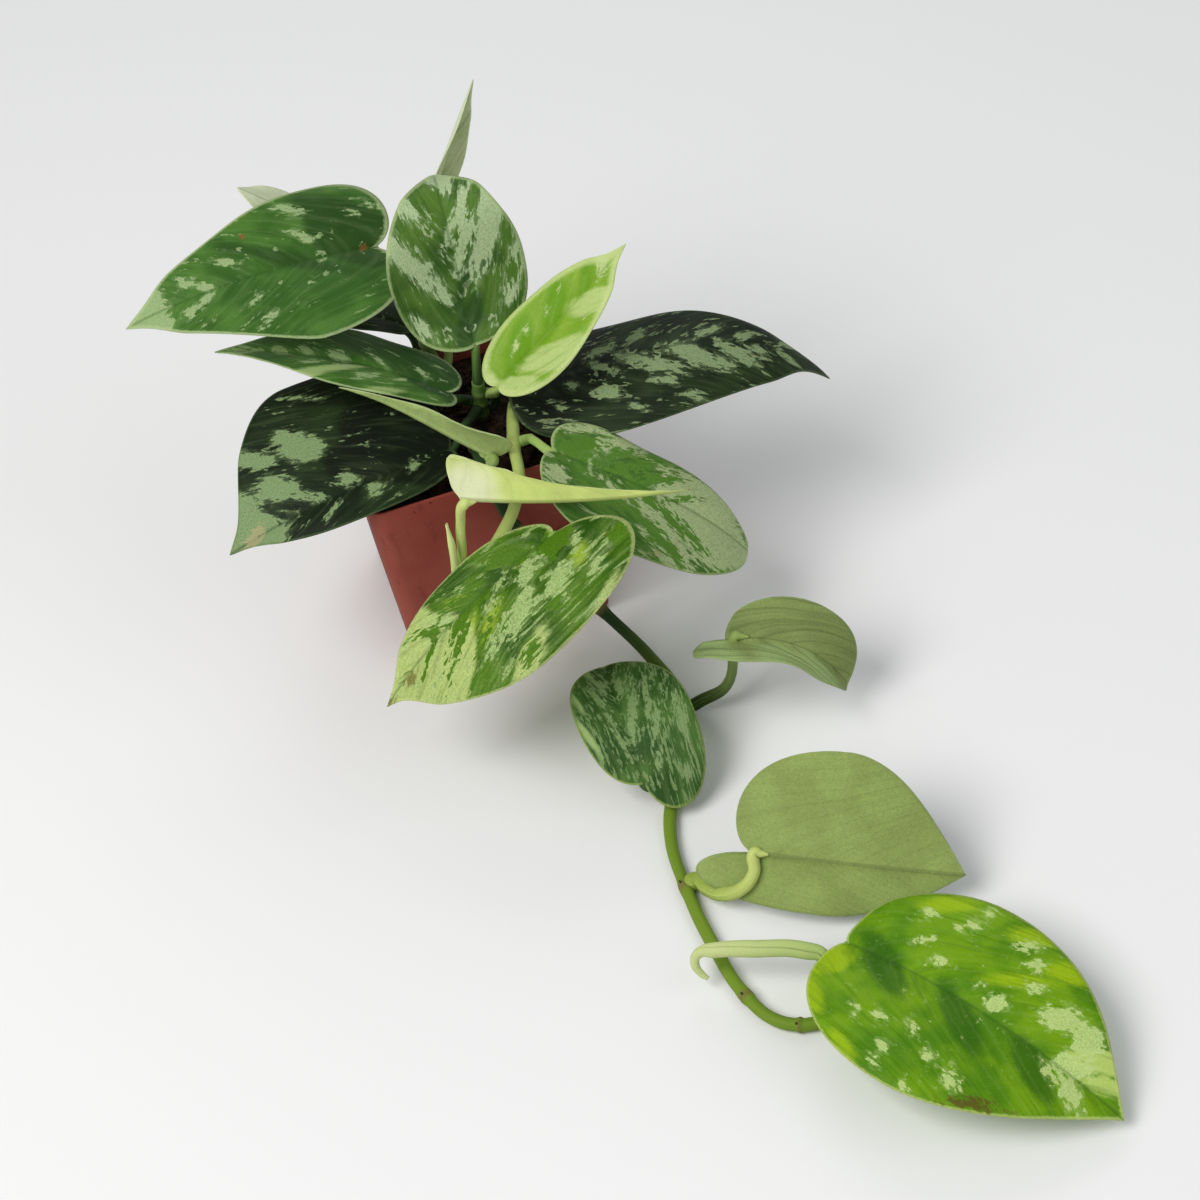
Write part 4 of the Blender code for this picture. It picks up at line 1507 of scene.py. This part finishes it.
    def relief(self, s: float, across: float, edge: float, lane: float) -> float:
        """Work out the blade's pleats, sway and waved margin above its plain sheet.

        Args:
            s: the share of the length.
            across: millimetres from the midrib, negative on the left.
            edge: millimetres to the margin.
            lane: millimetres across the veins.

        Returns:
            The height in millimetres.
        """
        reach = abs(across)
        calm = min(reach / self.calm_reach, 1.0)
        inside = min(reach / 6, 1.0) * min(edge / self.rim_reach, 1.0)
        pleats = math.sin(math.tau * lane / self.pleat_pitch) * self.pleat * inside
        length = s * 90
        slow = noise.noise(Vector((length / 26, across / 20, self.seed * 3.7))) * self.sway * calm
        margin = math.exp(-edge / self.rim_reach) * calm
        turn = length / 7.5 + self.seed * 5 + math.copysign(1.3, across)
        return pleats + slow + math.sin(turn) * self.margin_wave * margin

    def placed_marks(self, form: BladeForm) -> list[Mark]:
        """Turn the plan's marks into places and radii in millimetres.

        Args:
            form: the sheet that the blade follows.

        Returns:
            The marks.
        """
        found: list[Mark] = []
        for kind, spots in self.plan.marks:
            for t, share, long, wide in spots:
                s, _, across, _ = form.spot(t / 100, share / 100)
                found.append((kind, s * form.length, across, long, wide))
        return found

    def mark_values(self, marks: Sequence[Mark], along: float, across: float) -> dict[str, Triple]:
        """Work out how deep a point lies in each kind of mark.

        Args:
            marks: the placed marks.
            along: the point's millimetres from the base.
            across: its millimetres from the midrib.

        Returns:
            The depths by the names of Kind, from 1 at a mark's middle through 0 at its edge to -1.
        """
        depth = {kind: -1.0 for kind in Kind}
        for kind, at_along, at_across, long, wide in marks:
            angle = math.radians(-self.plan.vein_angle if kind is Kind.BROWN else self.plan.vein_angle)
            turned = angle if at_across > 0 else -angle
            ahead, aside = along - at_along, across - at_across
            run = ahead * math.cos(turned) + aside * math.sin(turned)
            lane = ahead * math.sin(turned) - aside * math.cos(turned)
            far = math.hypot(run / long, lane / wide)
            steep = 1.0 if self.plan.soft_marks else max(1.0, wide / 2.5)
            depth[kind] = max(depth[kind], min((1 - far) * steep, 1.0))
        values: dict[str, list[float]] = {"marks_a": [0.0] * 3, "marks_b": [0.0] * 3}
        for kind, level in depth.items():
            name, axis = kind.value
            values[name][axis] = level
        return {name: tuple(levels) for name, levels in values.items()}

    def petiole(self, draft: Draft) -> float:
        """Add the petiole, with a sheath at its foot.

        Args:
            draft: the leaf's mesh.

        Returns:
            Its length.
        """
        plan = self.plan
        form = BladeForm(plan)
        ahead, _, normal = form.frame(0.0)
        start, leave = plan.stem.leaving(plan.knot, plan.leave)
        base = Vector(plan.base) - normal * (plan.stalk_radius + self.stalk_gap) + ahead * plan.inset
        foot = start - leave * plan.wrap
        foot.z = max(foot.z, plan.stalk_radius + plan.sheath + self.floor_gap)
        knots = [foot, start + leave * self.stalk_lead, *map(Vector, plan.route), base]
        knots += [base + ahead * plan.tail * part + normal * lift for part, lift in self.tail_knots]
        route = Route(knots, self.stalk_steps)
        stop_at = (len(knots) - 3) / (len(knots) - 1)

        def radius(stop: Stop) -> float:
            """Work out the radius: a sheath first, a slight swelling under the blade, then a taper.

            Args:
                stop: the stop on the route.

            Returns:
                The radius.
            """
            share = stop.knot / (len(knots) - 1)
            sheath = plan.sheath * bell(stop.along, plan.sheath_reach)
            swell = self.stalk_swell * bell(share - stop_at, 0.06)
            taper = 1 - self.stalk_thinned * within((share - stop_at) / (1 - stop_at))
            opening = min(1.0, self.foot_opening + stop.along / (plan.wrap * 1.2))
            return (plan.stalk_radius * taper + sheath + swell) * opening

        Tube(route, radius, grooved=self.stalk_groove).add(draft, 2)
        return route.length


@dataclass
class Tube:
    """A closed tube along a route, with a radius at each stop and a groove down one side.

    bearing holds the knots that are marked as scars, and scar_width is a scar's width in knots.
    """

    route: Route
    radius: Callable[[Stop], float]
    grooved: float = 0.0
    sides: int = 20
    bearing: tuple[int, ...] = ()
    groove_width: float = 0.25
    scar_width: float = 0.125

    def add(self, draft: Draft, slot: int) -> None:
        """Add the tube's wall and its two ends.

        Args:
            draft: the mesh that it joins.
            slot: its material slot.
        """
        rings: list[list[int]] = []
        for stop in self.route.stops:
            reach = self.radius(stop)
            knot = max([0.0, *(bell(stop.knot - number, self.scar_width) for number in self.bearing)])
            ring: list[int] = []
            for number in range(self.sides):
                turn = math.tau * number / self.sides
                dent = 1 - self.grooved * bell(math.cos(turn) - 1, self.groove_width)
                place = stop.place + stop.way(turn) * reach * dent
                ring.append(draft.point(place, stop.values(turn, knot)))
            rings.append(ring)
        draft.skin(rings, slot, wrap=True)
        draft.cap([*reversed(rings[0])], slot)
        draft.cap(rings[-1], slot)


@dataclass
class Stem:
    """One stem: a tube that swells at the knots that bear a leaf, with ringed scars and root nubs."""

    plan: StemPlan
    swelling: float = 0.55
    swelling_reach: float = 2.2
    ring_depth: float = 0.14
    ring_reach: float = 0.5
    ring_gap: float = 2.6
    unevenness: float = 0.12
    near_floor: float = 6.0
    floor_gap: float = 0.05
    steps: int = 12
    nub_length: float = 1.3
    nub_radius: float = 0.6
    nub_leans: tuple[float, ...] = (0.15, 2.9)

    def build(self) -> bpy.types.Object:
        """Build and dress the stem.

        Returns:
            The piece, which rides on the plant's body.
        """
        plan = self.plan
        draft = Draft()
        route = Route([Vector(point) for point in plan.points], self.steps)

        def radius(stop: Stop) -> float:
            """Work out the radius, with a swelling and a thin ring at each bearing knot.

            Args:
                stop: the stop on the route.

            Returns:
                The radius.
            """
            bump = 0.0
            for number in plan.bearing:
                away = (stop.knot - number) * route.length / (len(plan.points) - 1)
                bump += self.swelling * bell(away, self.swelling_reach)
                bump -= self.ring_depth * bell(away - self.ring_gap, self.ring_reach)
            wide = plan.radius + bump - self.unevenness * math.sin(stop.along / 11)
            if stop.place.z < self.near_floor:
                return min(wide, max(stop.place.z - self.floor_gap, 1.0))
            return wide

        Tube(route, radius, bearing=plan.bearing).add(draft, 0)
        if plan is TRAILING_VINE:
            self.nubs(draft, route)
        skin = plan.finish.material(plan.name + "_skin", route.length)
        piece = draft.made(plan.name + "_look", (skin,))
        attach(piece, BODY)
        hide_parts(plan.name)
        return piece

    def nubs(self, draft: Draft, route: Route) -> None:
        """Add short dry root nubs beside the vine's knots.

        Args:
            draft: the vine's mesh.
            route: the vine's route.
        """
        for number in self.plan.bearing:
            stop = route.stops[number * self.steps]
            up = stop.ahead.cross(stop.side)
            if up.z < 0:
                up = -up
            for lean in self.nub_leans:
                way = stop.side * math.cos(lean) + up * math.sin(lean)
                start = stop.place + way * self.plan.radius * 0.8 + stop.ahead * (lean - 1.2)
                knots = [start, start + way * self.nub_length, start + way * self.nub_length * 1.5]
                nub = Tube(Route(knots, 3), self.nub_radius_at, sides=8, bearing=(0, 1, 2))
                nub.add(draft, 0)

    def nub_radius_at(self, stop: Stop) -> float:
        """Radius of a root nub at a stop."""
        return self.nub_radius * (1 - 0.3 * stop.knot)


@dataclass
class RolledLeaf:
    """A leaf or sheath that is still rolled: a sheet wound on itself, along a route.

    The route passes points, with one radius for each knot, and is rolled from the knot rolled_from on.
    The sheet winds round a core as many times as winds says, turns by drift for each millimetre, and
    moves from step_in inside the radius to as far outside.
    """

    name: str
    slot: str
    finish: StemFinish
    stem: StemPlan
    knot: int
    leave: Triple
    points: tuple[Triple, ...]
    radii: tuple[float, ...]
    rolled_from: int
    winds: float = 1.3
    step_in: float = 0.4
    wall: float = 0.35
    facets: int = 40
    first_turn: float = -1.9
    drift: float = 0.01
    lead: float = 2.5
    root: float = 0.6
    core: float = 0.8
    steps: int = 10

    def build(self) -> bpy.types.Object:
        """Build and dress the rolled leaf.

        Returns:
            The piece, which rides on the plant's body.
        """
        start, leave = self.stem.leaving(self.knot, self.leave)
        knots = [start - leave * self.root, start + leave * self.lead, *map(Vector, self.points)]
        route = Route(knots, self.steps)
        draft = Draft()
        Tube(route, self.core_radius).add(draft, 0)
        self.wrap(draft, route)
        skin = self.finish.material(self.name + "_skin", route.length)
        piece = draft.made(self.name + "_look", (skin,))
        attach(piece, BODY)
        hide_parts(self.name)
        return piece

    def radius(self, stop: Stop) -> float:
        """Work out the radius, smooth between the radii at the knots.

        Args:
            stop: the stop on the route.

        Returns:
            The radius.
        """
        low = min(int(stop.knot), len(self.radii) - 1)
        high = min(low + 1, len(self.radii) - 1)
        share = stop.knot - int(stop.knot)
        return self.radii[low] * (1 - eased(share)) + self.radii[high] * eased(share)

    def core_radius(self, stop: Stop) -> float:
        """Radius of the stalk, or of the core that the sheet is wound on."""
        return self.radius(stop) * (self.core if stop.knot >= self.rolled_from else 1.0)

    def wrap(self, draft: Draft, route: Route) -> None:
        """Add the sheet that winds round the core, with its free edge a little proud.

        Args:
            draft: the rolled leaf's mesh.
            route: its route.
        """
        outer: list[list[int]] = []
        inner: list[list[int]] = []
        for stop in route.stops:
            if stop.knot < self.rolled_from:
                continue
            reach = self.radius(stop)
            outs: list[int] = []
            ins: list[int] = []
            dry = 0.9 * within((stop.knot - len(self.points)) / 1.2)
            for number in range(self.facets + 1):
                wound = number / self.facets
                turn = math.tau * self.winds * wound + self.first_turn + stop.along * self.drift
                way, values = stop.way(turn), stop.values(turn, max(0.8 * wound ** 20, dry))
                away = reach - self.step_in + self.step_in * 2 * wound ** 3
                outs.append(draft.point(stop.place + way * away, values))
                ins.append(draft.point(stop.place + way * max(away - self.wall, 0.1), values))
            outer.append(outs)
            inner.append([*reversed(ins)])
        draft.skin(outer, 0)
        draft.skin(inner, 0)
        draft.skin([[row[-1] for row in outer], [row[0] for row in inner]], 0)
        for rim_out, rim_in in ((outer[0], inner[0]), (outer[-1], inner[-1])):
            draft.skin([rim_out, [*reversed(rim_in)]], 0)


ROLLED = (
    RolledLeaf(
        "leaf_15_rolled", "pale_leaf", StemFinish(
            shade(150, 178, 92), shade(198, 208, 142), 9.0, scar=shade(142, 132, 84), scarred=0.6),
        TRAILING_VINE, 18, (0, 0.5, 1),
        ((88, -258, 13), (93, -251, 17), (87, -247.5, 19), (70, -242, 19), (56, -237.5, 17.5),
         (50.5, -236, 16), (48.5, -237, 12.5), (50, -239, 8), (52, -240.5, 6.5)),
        (1.6, 1.6, 1.8, 2.8, 3.3, 3.3, 3.0, 2.2, 1.6, 1.2, 0.7), 3,
    ),
    RolledLeaf(
        "sheath_bud", "pale_leaf", StemFinish(
            shade(170, 192, 96), shade(206, 216, 140), 10.0, scar=shade(160, 172, 92), scarred=0.4),
        YOUNG_SHOOT, 8, (-1, -1.2, 0.8),
        ((-10, -71.5, 70), (-9, -71.5, 82.5), (-8.8, -71.5, 95)),
        (1.6, 1.7, 1.9, 1.6, 0.6), 2,
    ),
)


@dataclass
class Pot:
    """The square nursery pot: a thin tapered wall with a rounded rim, and a floor with drain holes."""

    side: float = 90.0
    height: float = 88.0
    taper: float = 2.5
    turn: float = 8.0
    wall: float = 1.4
    floor: float = 2.0
    corner: float = 7.0
    corner_steps: int = 12
    drain_radius: float = 4.0
    drain_reach: float = 27.0

    def side_at(self, height: float) -> float:
        """Outer side of the pot at a height."""
        return self.side - 2 * (self.height - height) * math.tan(math.radians(self.taper))

    def loop(self, draft: Draft, side: float, corner: float, height: float) -> list[int]:
        """Add a square loop with rounded corners.

        Args:
            draft: the pot's mesh.
            side: the square's side.
            corner: the corners' radius.
            height: where it lies.

        Returns:
            Its points.
        """
        numbers: list[int] = []
        half = side / 2 - corner
        for quarter, (x, y) in enumerate(((1, 1), (-1, 1), (-1, -1), (1, -1))):
            for step in range(self.corner_steps + 1):
                angle = math.radians(90 * quarter + 90 * step / self.corner_steps)
                round_x, round_y = corner * math.cos(angle), corner * math.sin(angle)
                place = Vector((x * half + round_x, y * half + round_y, height))
                place.rotate(Matrix.Rotation(math.radians(self.turn), 3, "Z"))
                numbers.append(draft.point(place, {}))
        return numbers

    def build(self) -> bpy.types.Object:
        """Build and dress the pot.

        Returns:
            The piece, which rides on the plant's body.
        """
        draft = Draft()
        top, inner = self.height, 2 * self.wall
        # Each loop's place on the taper, its height, and how far its sides move in.
        profile = (
            (0.0, 0.0, 1.6), (0.3, 0.25, 0.5), (1.0, 1.0, 0.0), (40.0, 40.0, 0.0),
            (top - 0.8, top - 0.8, 0.0), (top, top - 0.3, 0.15), (top, top, 0.7),
            (top, top, inner - 0.7), (top, top - 0.3, inner - 0.1), (top - 1, top - 1, inner),
            (40.0, 40.0, inner), (self.floor + 1, self.floor + 1, inner),
            (self.floor, self.floor, inner + 1.6),
        )
        loops: list[list[int]] = []
        for level, z, inward in profile:
            side = self.side_at(level) - inward
            loops.append(self.loop(draft, side, self.corner - (self.side_at(z) - side) / 2 * 0.9, z))
        draft.skin(loops, 0, wrap=True)
        draft.cap([*reversed(loops[0])])
        draft.cap(loops[-1])
        piece = draft.made("pot_look", (PotFinish().material(),))
        self.drill(piece)
        piece.data.set_sharp_from_angle(angle=math.radians(40))
        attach(piece, BODY)
        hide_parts("pot")
        return piece

    def drill(self, piece: bpy.types.Object) -> None:
        """Cut the drain holes through the floor.

        Args:
            piece: the pot.
        """
        shape = bmesh.new()
        for quarter in range(4):
            turn = math.radians(self.turn + 45 + 90 * quarter)
            place = Vector((math.cos(turn), math.sin(turn), 0)) * self.drain_reach * MM
            radius = self.drain_radius * MM
            bmesh.ops.create_cone(
                shape, cap_ends=True, segments=32, radius1=radius, radius2=radius, depth=10 * MM,
                matrix=Matrix.Translation(place),
            )
        mesh = bpy.data.meshes.new("drains")
        shape.to_mesh(mesh)
        shape.free()
        cutter = linked("drains", mesh)
        modifier = piece.modifiers.new("drains", "BOOLEAN")
        modifier.object = cutter
        modifier.operation = "DIFFERENCE"
        modifier.solver = "EXACT"
        graph = bpy.context.evaluated_depsgraph_get()
        piece.data = bpy.data.meshes.new_from_object(piece.evaluated_get(graph))
        piece.modifiers.clear()
        bpy.data.objects.remove(cutter)


@dataclass
class Soil:
    """The soil: the model's block, with a crumbled surface and loose bits on top of it."""

    pot: Pot
    top: float = 80.0
    cells: int = 110
    gap: float = 0.3
    lift: float = 0.9
    relief: float = 1.3
    fine_relief: float = 0.45
    rim_drop: float = 0.6
    crumbs: int = 420
    chips: int = 60
    seed: int = 11

    def build(self) -> bpy.types.Object:
        """Build the crumbled surface, and dress it and the block.

        Returns:
            The piece, which rides on the plant's body.
        """
        dice = random.Random(self.seed)
        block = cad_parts["soil"]
        block.data.materials.clear()
        block.data.materials.append(SoilFinish().material("soil_block"))
        draft = Draft()
        half = self.pot.side_at(self.top) / 2 - self.pot.wall - self.gap
        turn = Matrix.Rotation(math.radians(self.pot.turn), 3, "Z")
        lines = range(self.cells + 1)
        rows = [[draft.point(self.ground(half, turn, i, j), {}) for j in lines] for i in lines]
        draft.skin([[*reversed(row)] for row in rows])
        for _ in range(self.crumbs):
            self.lump(draft, dice, half, turn, dice.uniform(0.35, 1.3), 1.0)
        for _ in range(self.chips):
            self.lump(draft, dice, half, turn, dice.uniform(0.9, 1.8), dice.uniform(2.0, 4.0))
        piece = draft.made("soil_surface", (SoilFinish().material("soil_crumbs"),))
        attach(piece, BODY)
        return piece

    def height(self, x: float, y: float) -> float:
        """Work out the height of the crumbled surface.

        Args:
            x: the place across the pot, before its turn.
            y: the place along it.

        Returns:
            The height.
        """
        coarse = noise.fractal(Vector((x / 11, y / 11, 3.3)), 1.0, 2.0, 4)
        fine = noise.noise(Vector((x / 1.8, y / 1.8, 7.1)))
        return self.top + self.lift + self.relief * coarse + self.fine_relief * fine

    def ground(self, half: float, turn: Matrix, i: int, j: int) -> Vector:
        """Find a point of the surface, held inside the pot's rounded corners.

        Args:
            half: half of the soil's side.
            turn: the pot's turn.
            i: the row.
            j: the place in the row.

        Returns:
            The point.
        """
        x = (2 * i / self.cells - 1) * half
        y = (2 * j / self.cells - 1) * half
        corner = self.pot.corner - self.pot.wall
        over = Vector((max(abs(x) - half + corner, 0), max(abs(y) - half + corner, 0)))
        if over.length > corner:
            over *= corner / over.length
            x = math.copysign(half - corner + over.x, x)
            y = math.copysign(half - corner + over.y, y)
        if i in (0, self.cells) or j in (0, self.cells):
            return turn @ Vector((x, y, self.top - self.rim_drop))
        return turn @ Vector((x, y, max(self.height(x, y), self.top + 0.05)))

    def lump(
        self, draft: Draft, dice: random.Random, half: float, turn: Matrix, size: float, long: float
    ) -> None:
        """Add one crumb or chip, lying on the surface.

        Args:
            draft: the mesh that it joins.
            dice: the seeded random numbers.
            half: half of the soil's side.
            turn: the pot's turn.
            size: its radius.
            long: its length over its width.
        """
        x, y = (dice.uniform(-0.95, 0.95) * (half - 3) for _ in range(2))
        shape = bmesh.new()
        bmesh.ops.create_icosphere(shape, subdivisions=1, radius=1.0)
        spin = Matrix.Rotation(dice.uniform(0, math.tau), 3, "Z")
        spin = spin @ Matrix.Rotation(dice.uniform(-0.5, 0.5), 3, "X")
        numbers: list[int] = []
        centre = Vector((x, y, self.height(x, y) + size * 0.3))
        for corner in shape.verts:
            rough = corner.co * (1 + dice.uniform(-0.3, 0.3))
            rough = Vector((rough.x * long, rough.y, rough.z * (0.8 if long == 1 else 0.45))) * size
            numbers.append(draft.point(turn @ (centre + spin @ rough), {}))
        for face in shape.faces:
            draft.face([numbers[corner.index] for corner in face.verts])
        shape.free()


@dataclass
class Studio:
    """The floor, the soft lights and the camera at the photograph's viewing angle."""

    floor_side: float = 6.0
    camera_at: Triple = (0.0421, -0.9281, 0.8391)
    elevation: float = 43.0
    roll: float = -12.0
    lens: float = 90.0
    sensor: float = 36.0
    aim: Triple = (0.03, -0.08, 0.06)
    air: Colour = (0.94, 0.97, 1.0)
    air_strength: float = 0.32

    def build(self) -> bpy.types.Object:
        """Build the studio.

        Returns:
            The floor.
        """
        self.camera()
        bpy.context.scene.view_settings.view_transform = "Standard"
        self.lamp("key_light", (-0.9, -0.7, 1.5), 1.1, 25.0, (1.0, 0.985, 0.96))
        self.lamp("fill_light", (1.2, -0.9, 0.9), 1.4, 6.0, (0.97, 0.985, 1.0))
        self.lamp("back_light", (0.3, 1.3, 1.2), 1.0, 5.0, (1.0, 1.0, 1.0))
        world = bpy.data.worlds.new("studio_air")
        world.use_nodes = True
        sky = world.node_tree.nodes["Background"]
        sky.inputs["Color"].default_value = (*self.air, 1.0)
        sky.inputs["Strength"].default_value = self.air_strength
        bpy.context.scene.world = world
        draft = Draft()
        half = self.floor_side / 2 / MM
        corners = ((-1, -1), (1, -1), (1, 1), (-1, 1))
        draft.face([draft.point(Vector((x * half, y * half, 0)), {}) for x, y in corners])
        floor = draft.made("studio_floor", (FloorFinish().material(),), flat=True)
        return floor

    def camera(self) -> None:
        """Stand the camera where the photograph was taken from."""
        lens = bpy.data.cameras.new("photo_camera")
        lens.lens = self.lens
        lens.sensor_width = self.sensor
        lens.clip_start = 0.01
        lens.clip_end = 20.0
        eye = linked("photo_camera", lens)
        tilt = Matrix.Rotation(math.radians(90 - self.elevation), 4, "X")
        spin = Matrix.Rotation(math.radians(self.roll), 4, "Z")
        eye.matrix_world = Matrix.Translation(self.camera_at) @ tilt @ spin
        bpy.context.scene.camera = eye

    def lamp(self, name: str, at: Triple, side: float, power: float, colour: Colour) -> None:
        """Hang one soft square light that faces the plant.

        Args:
            name: the light's name.
            at: where it hangs, in metres.
            side: its side, in metres.
            power: its power, in watts.
            colour: its colour.
        """
        light = bpy.data.lights.new(name, "AREA")
        light.size = side
        light.energy = power
        light.color = colour
        holder = linked(name, light)
        holder.location = at
        towards = Vector(self.aim) - Vector(at)
        holder.rotation_euler = towards.to_track_quat("-Z", "Y").to_euler()


def main() -> None:
    """Build the plant, its pot and the studio, and report each piece."""
    logging.basicConfig(level=logging.INFO)
    pot = Pot()
    log.info("built %s", pot.build().name)
    log.info("built %s", Soil(pot).build().name)
    for plan in STEMS:
        log.info("built %s", Stem(plan).build().name)
    for number, plan in enumerate(LEAVES):
        log.info("built %s", Leaf(plan, 1.7 * number + 0.4).build().name)
    for rolled in ROLLED:
        log.info("built %s", rolled.build().name)
    log.info("built %s", Studio().build().name)


if __name__ == "__main__":
    main()
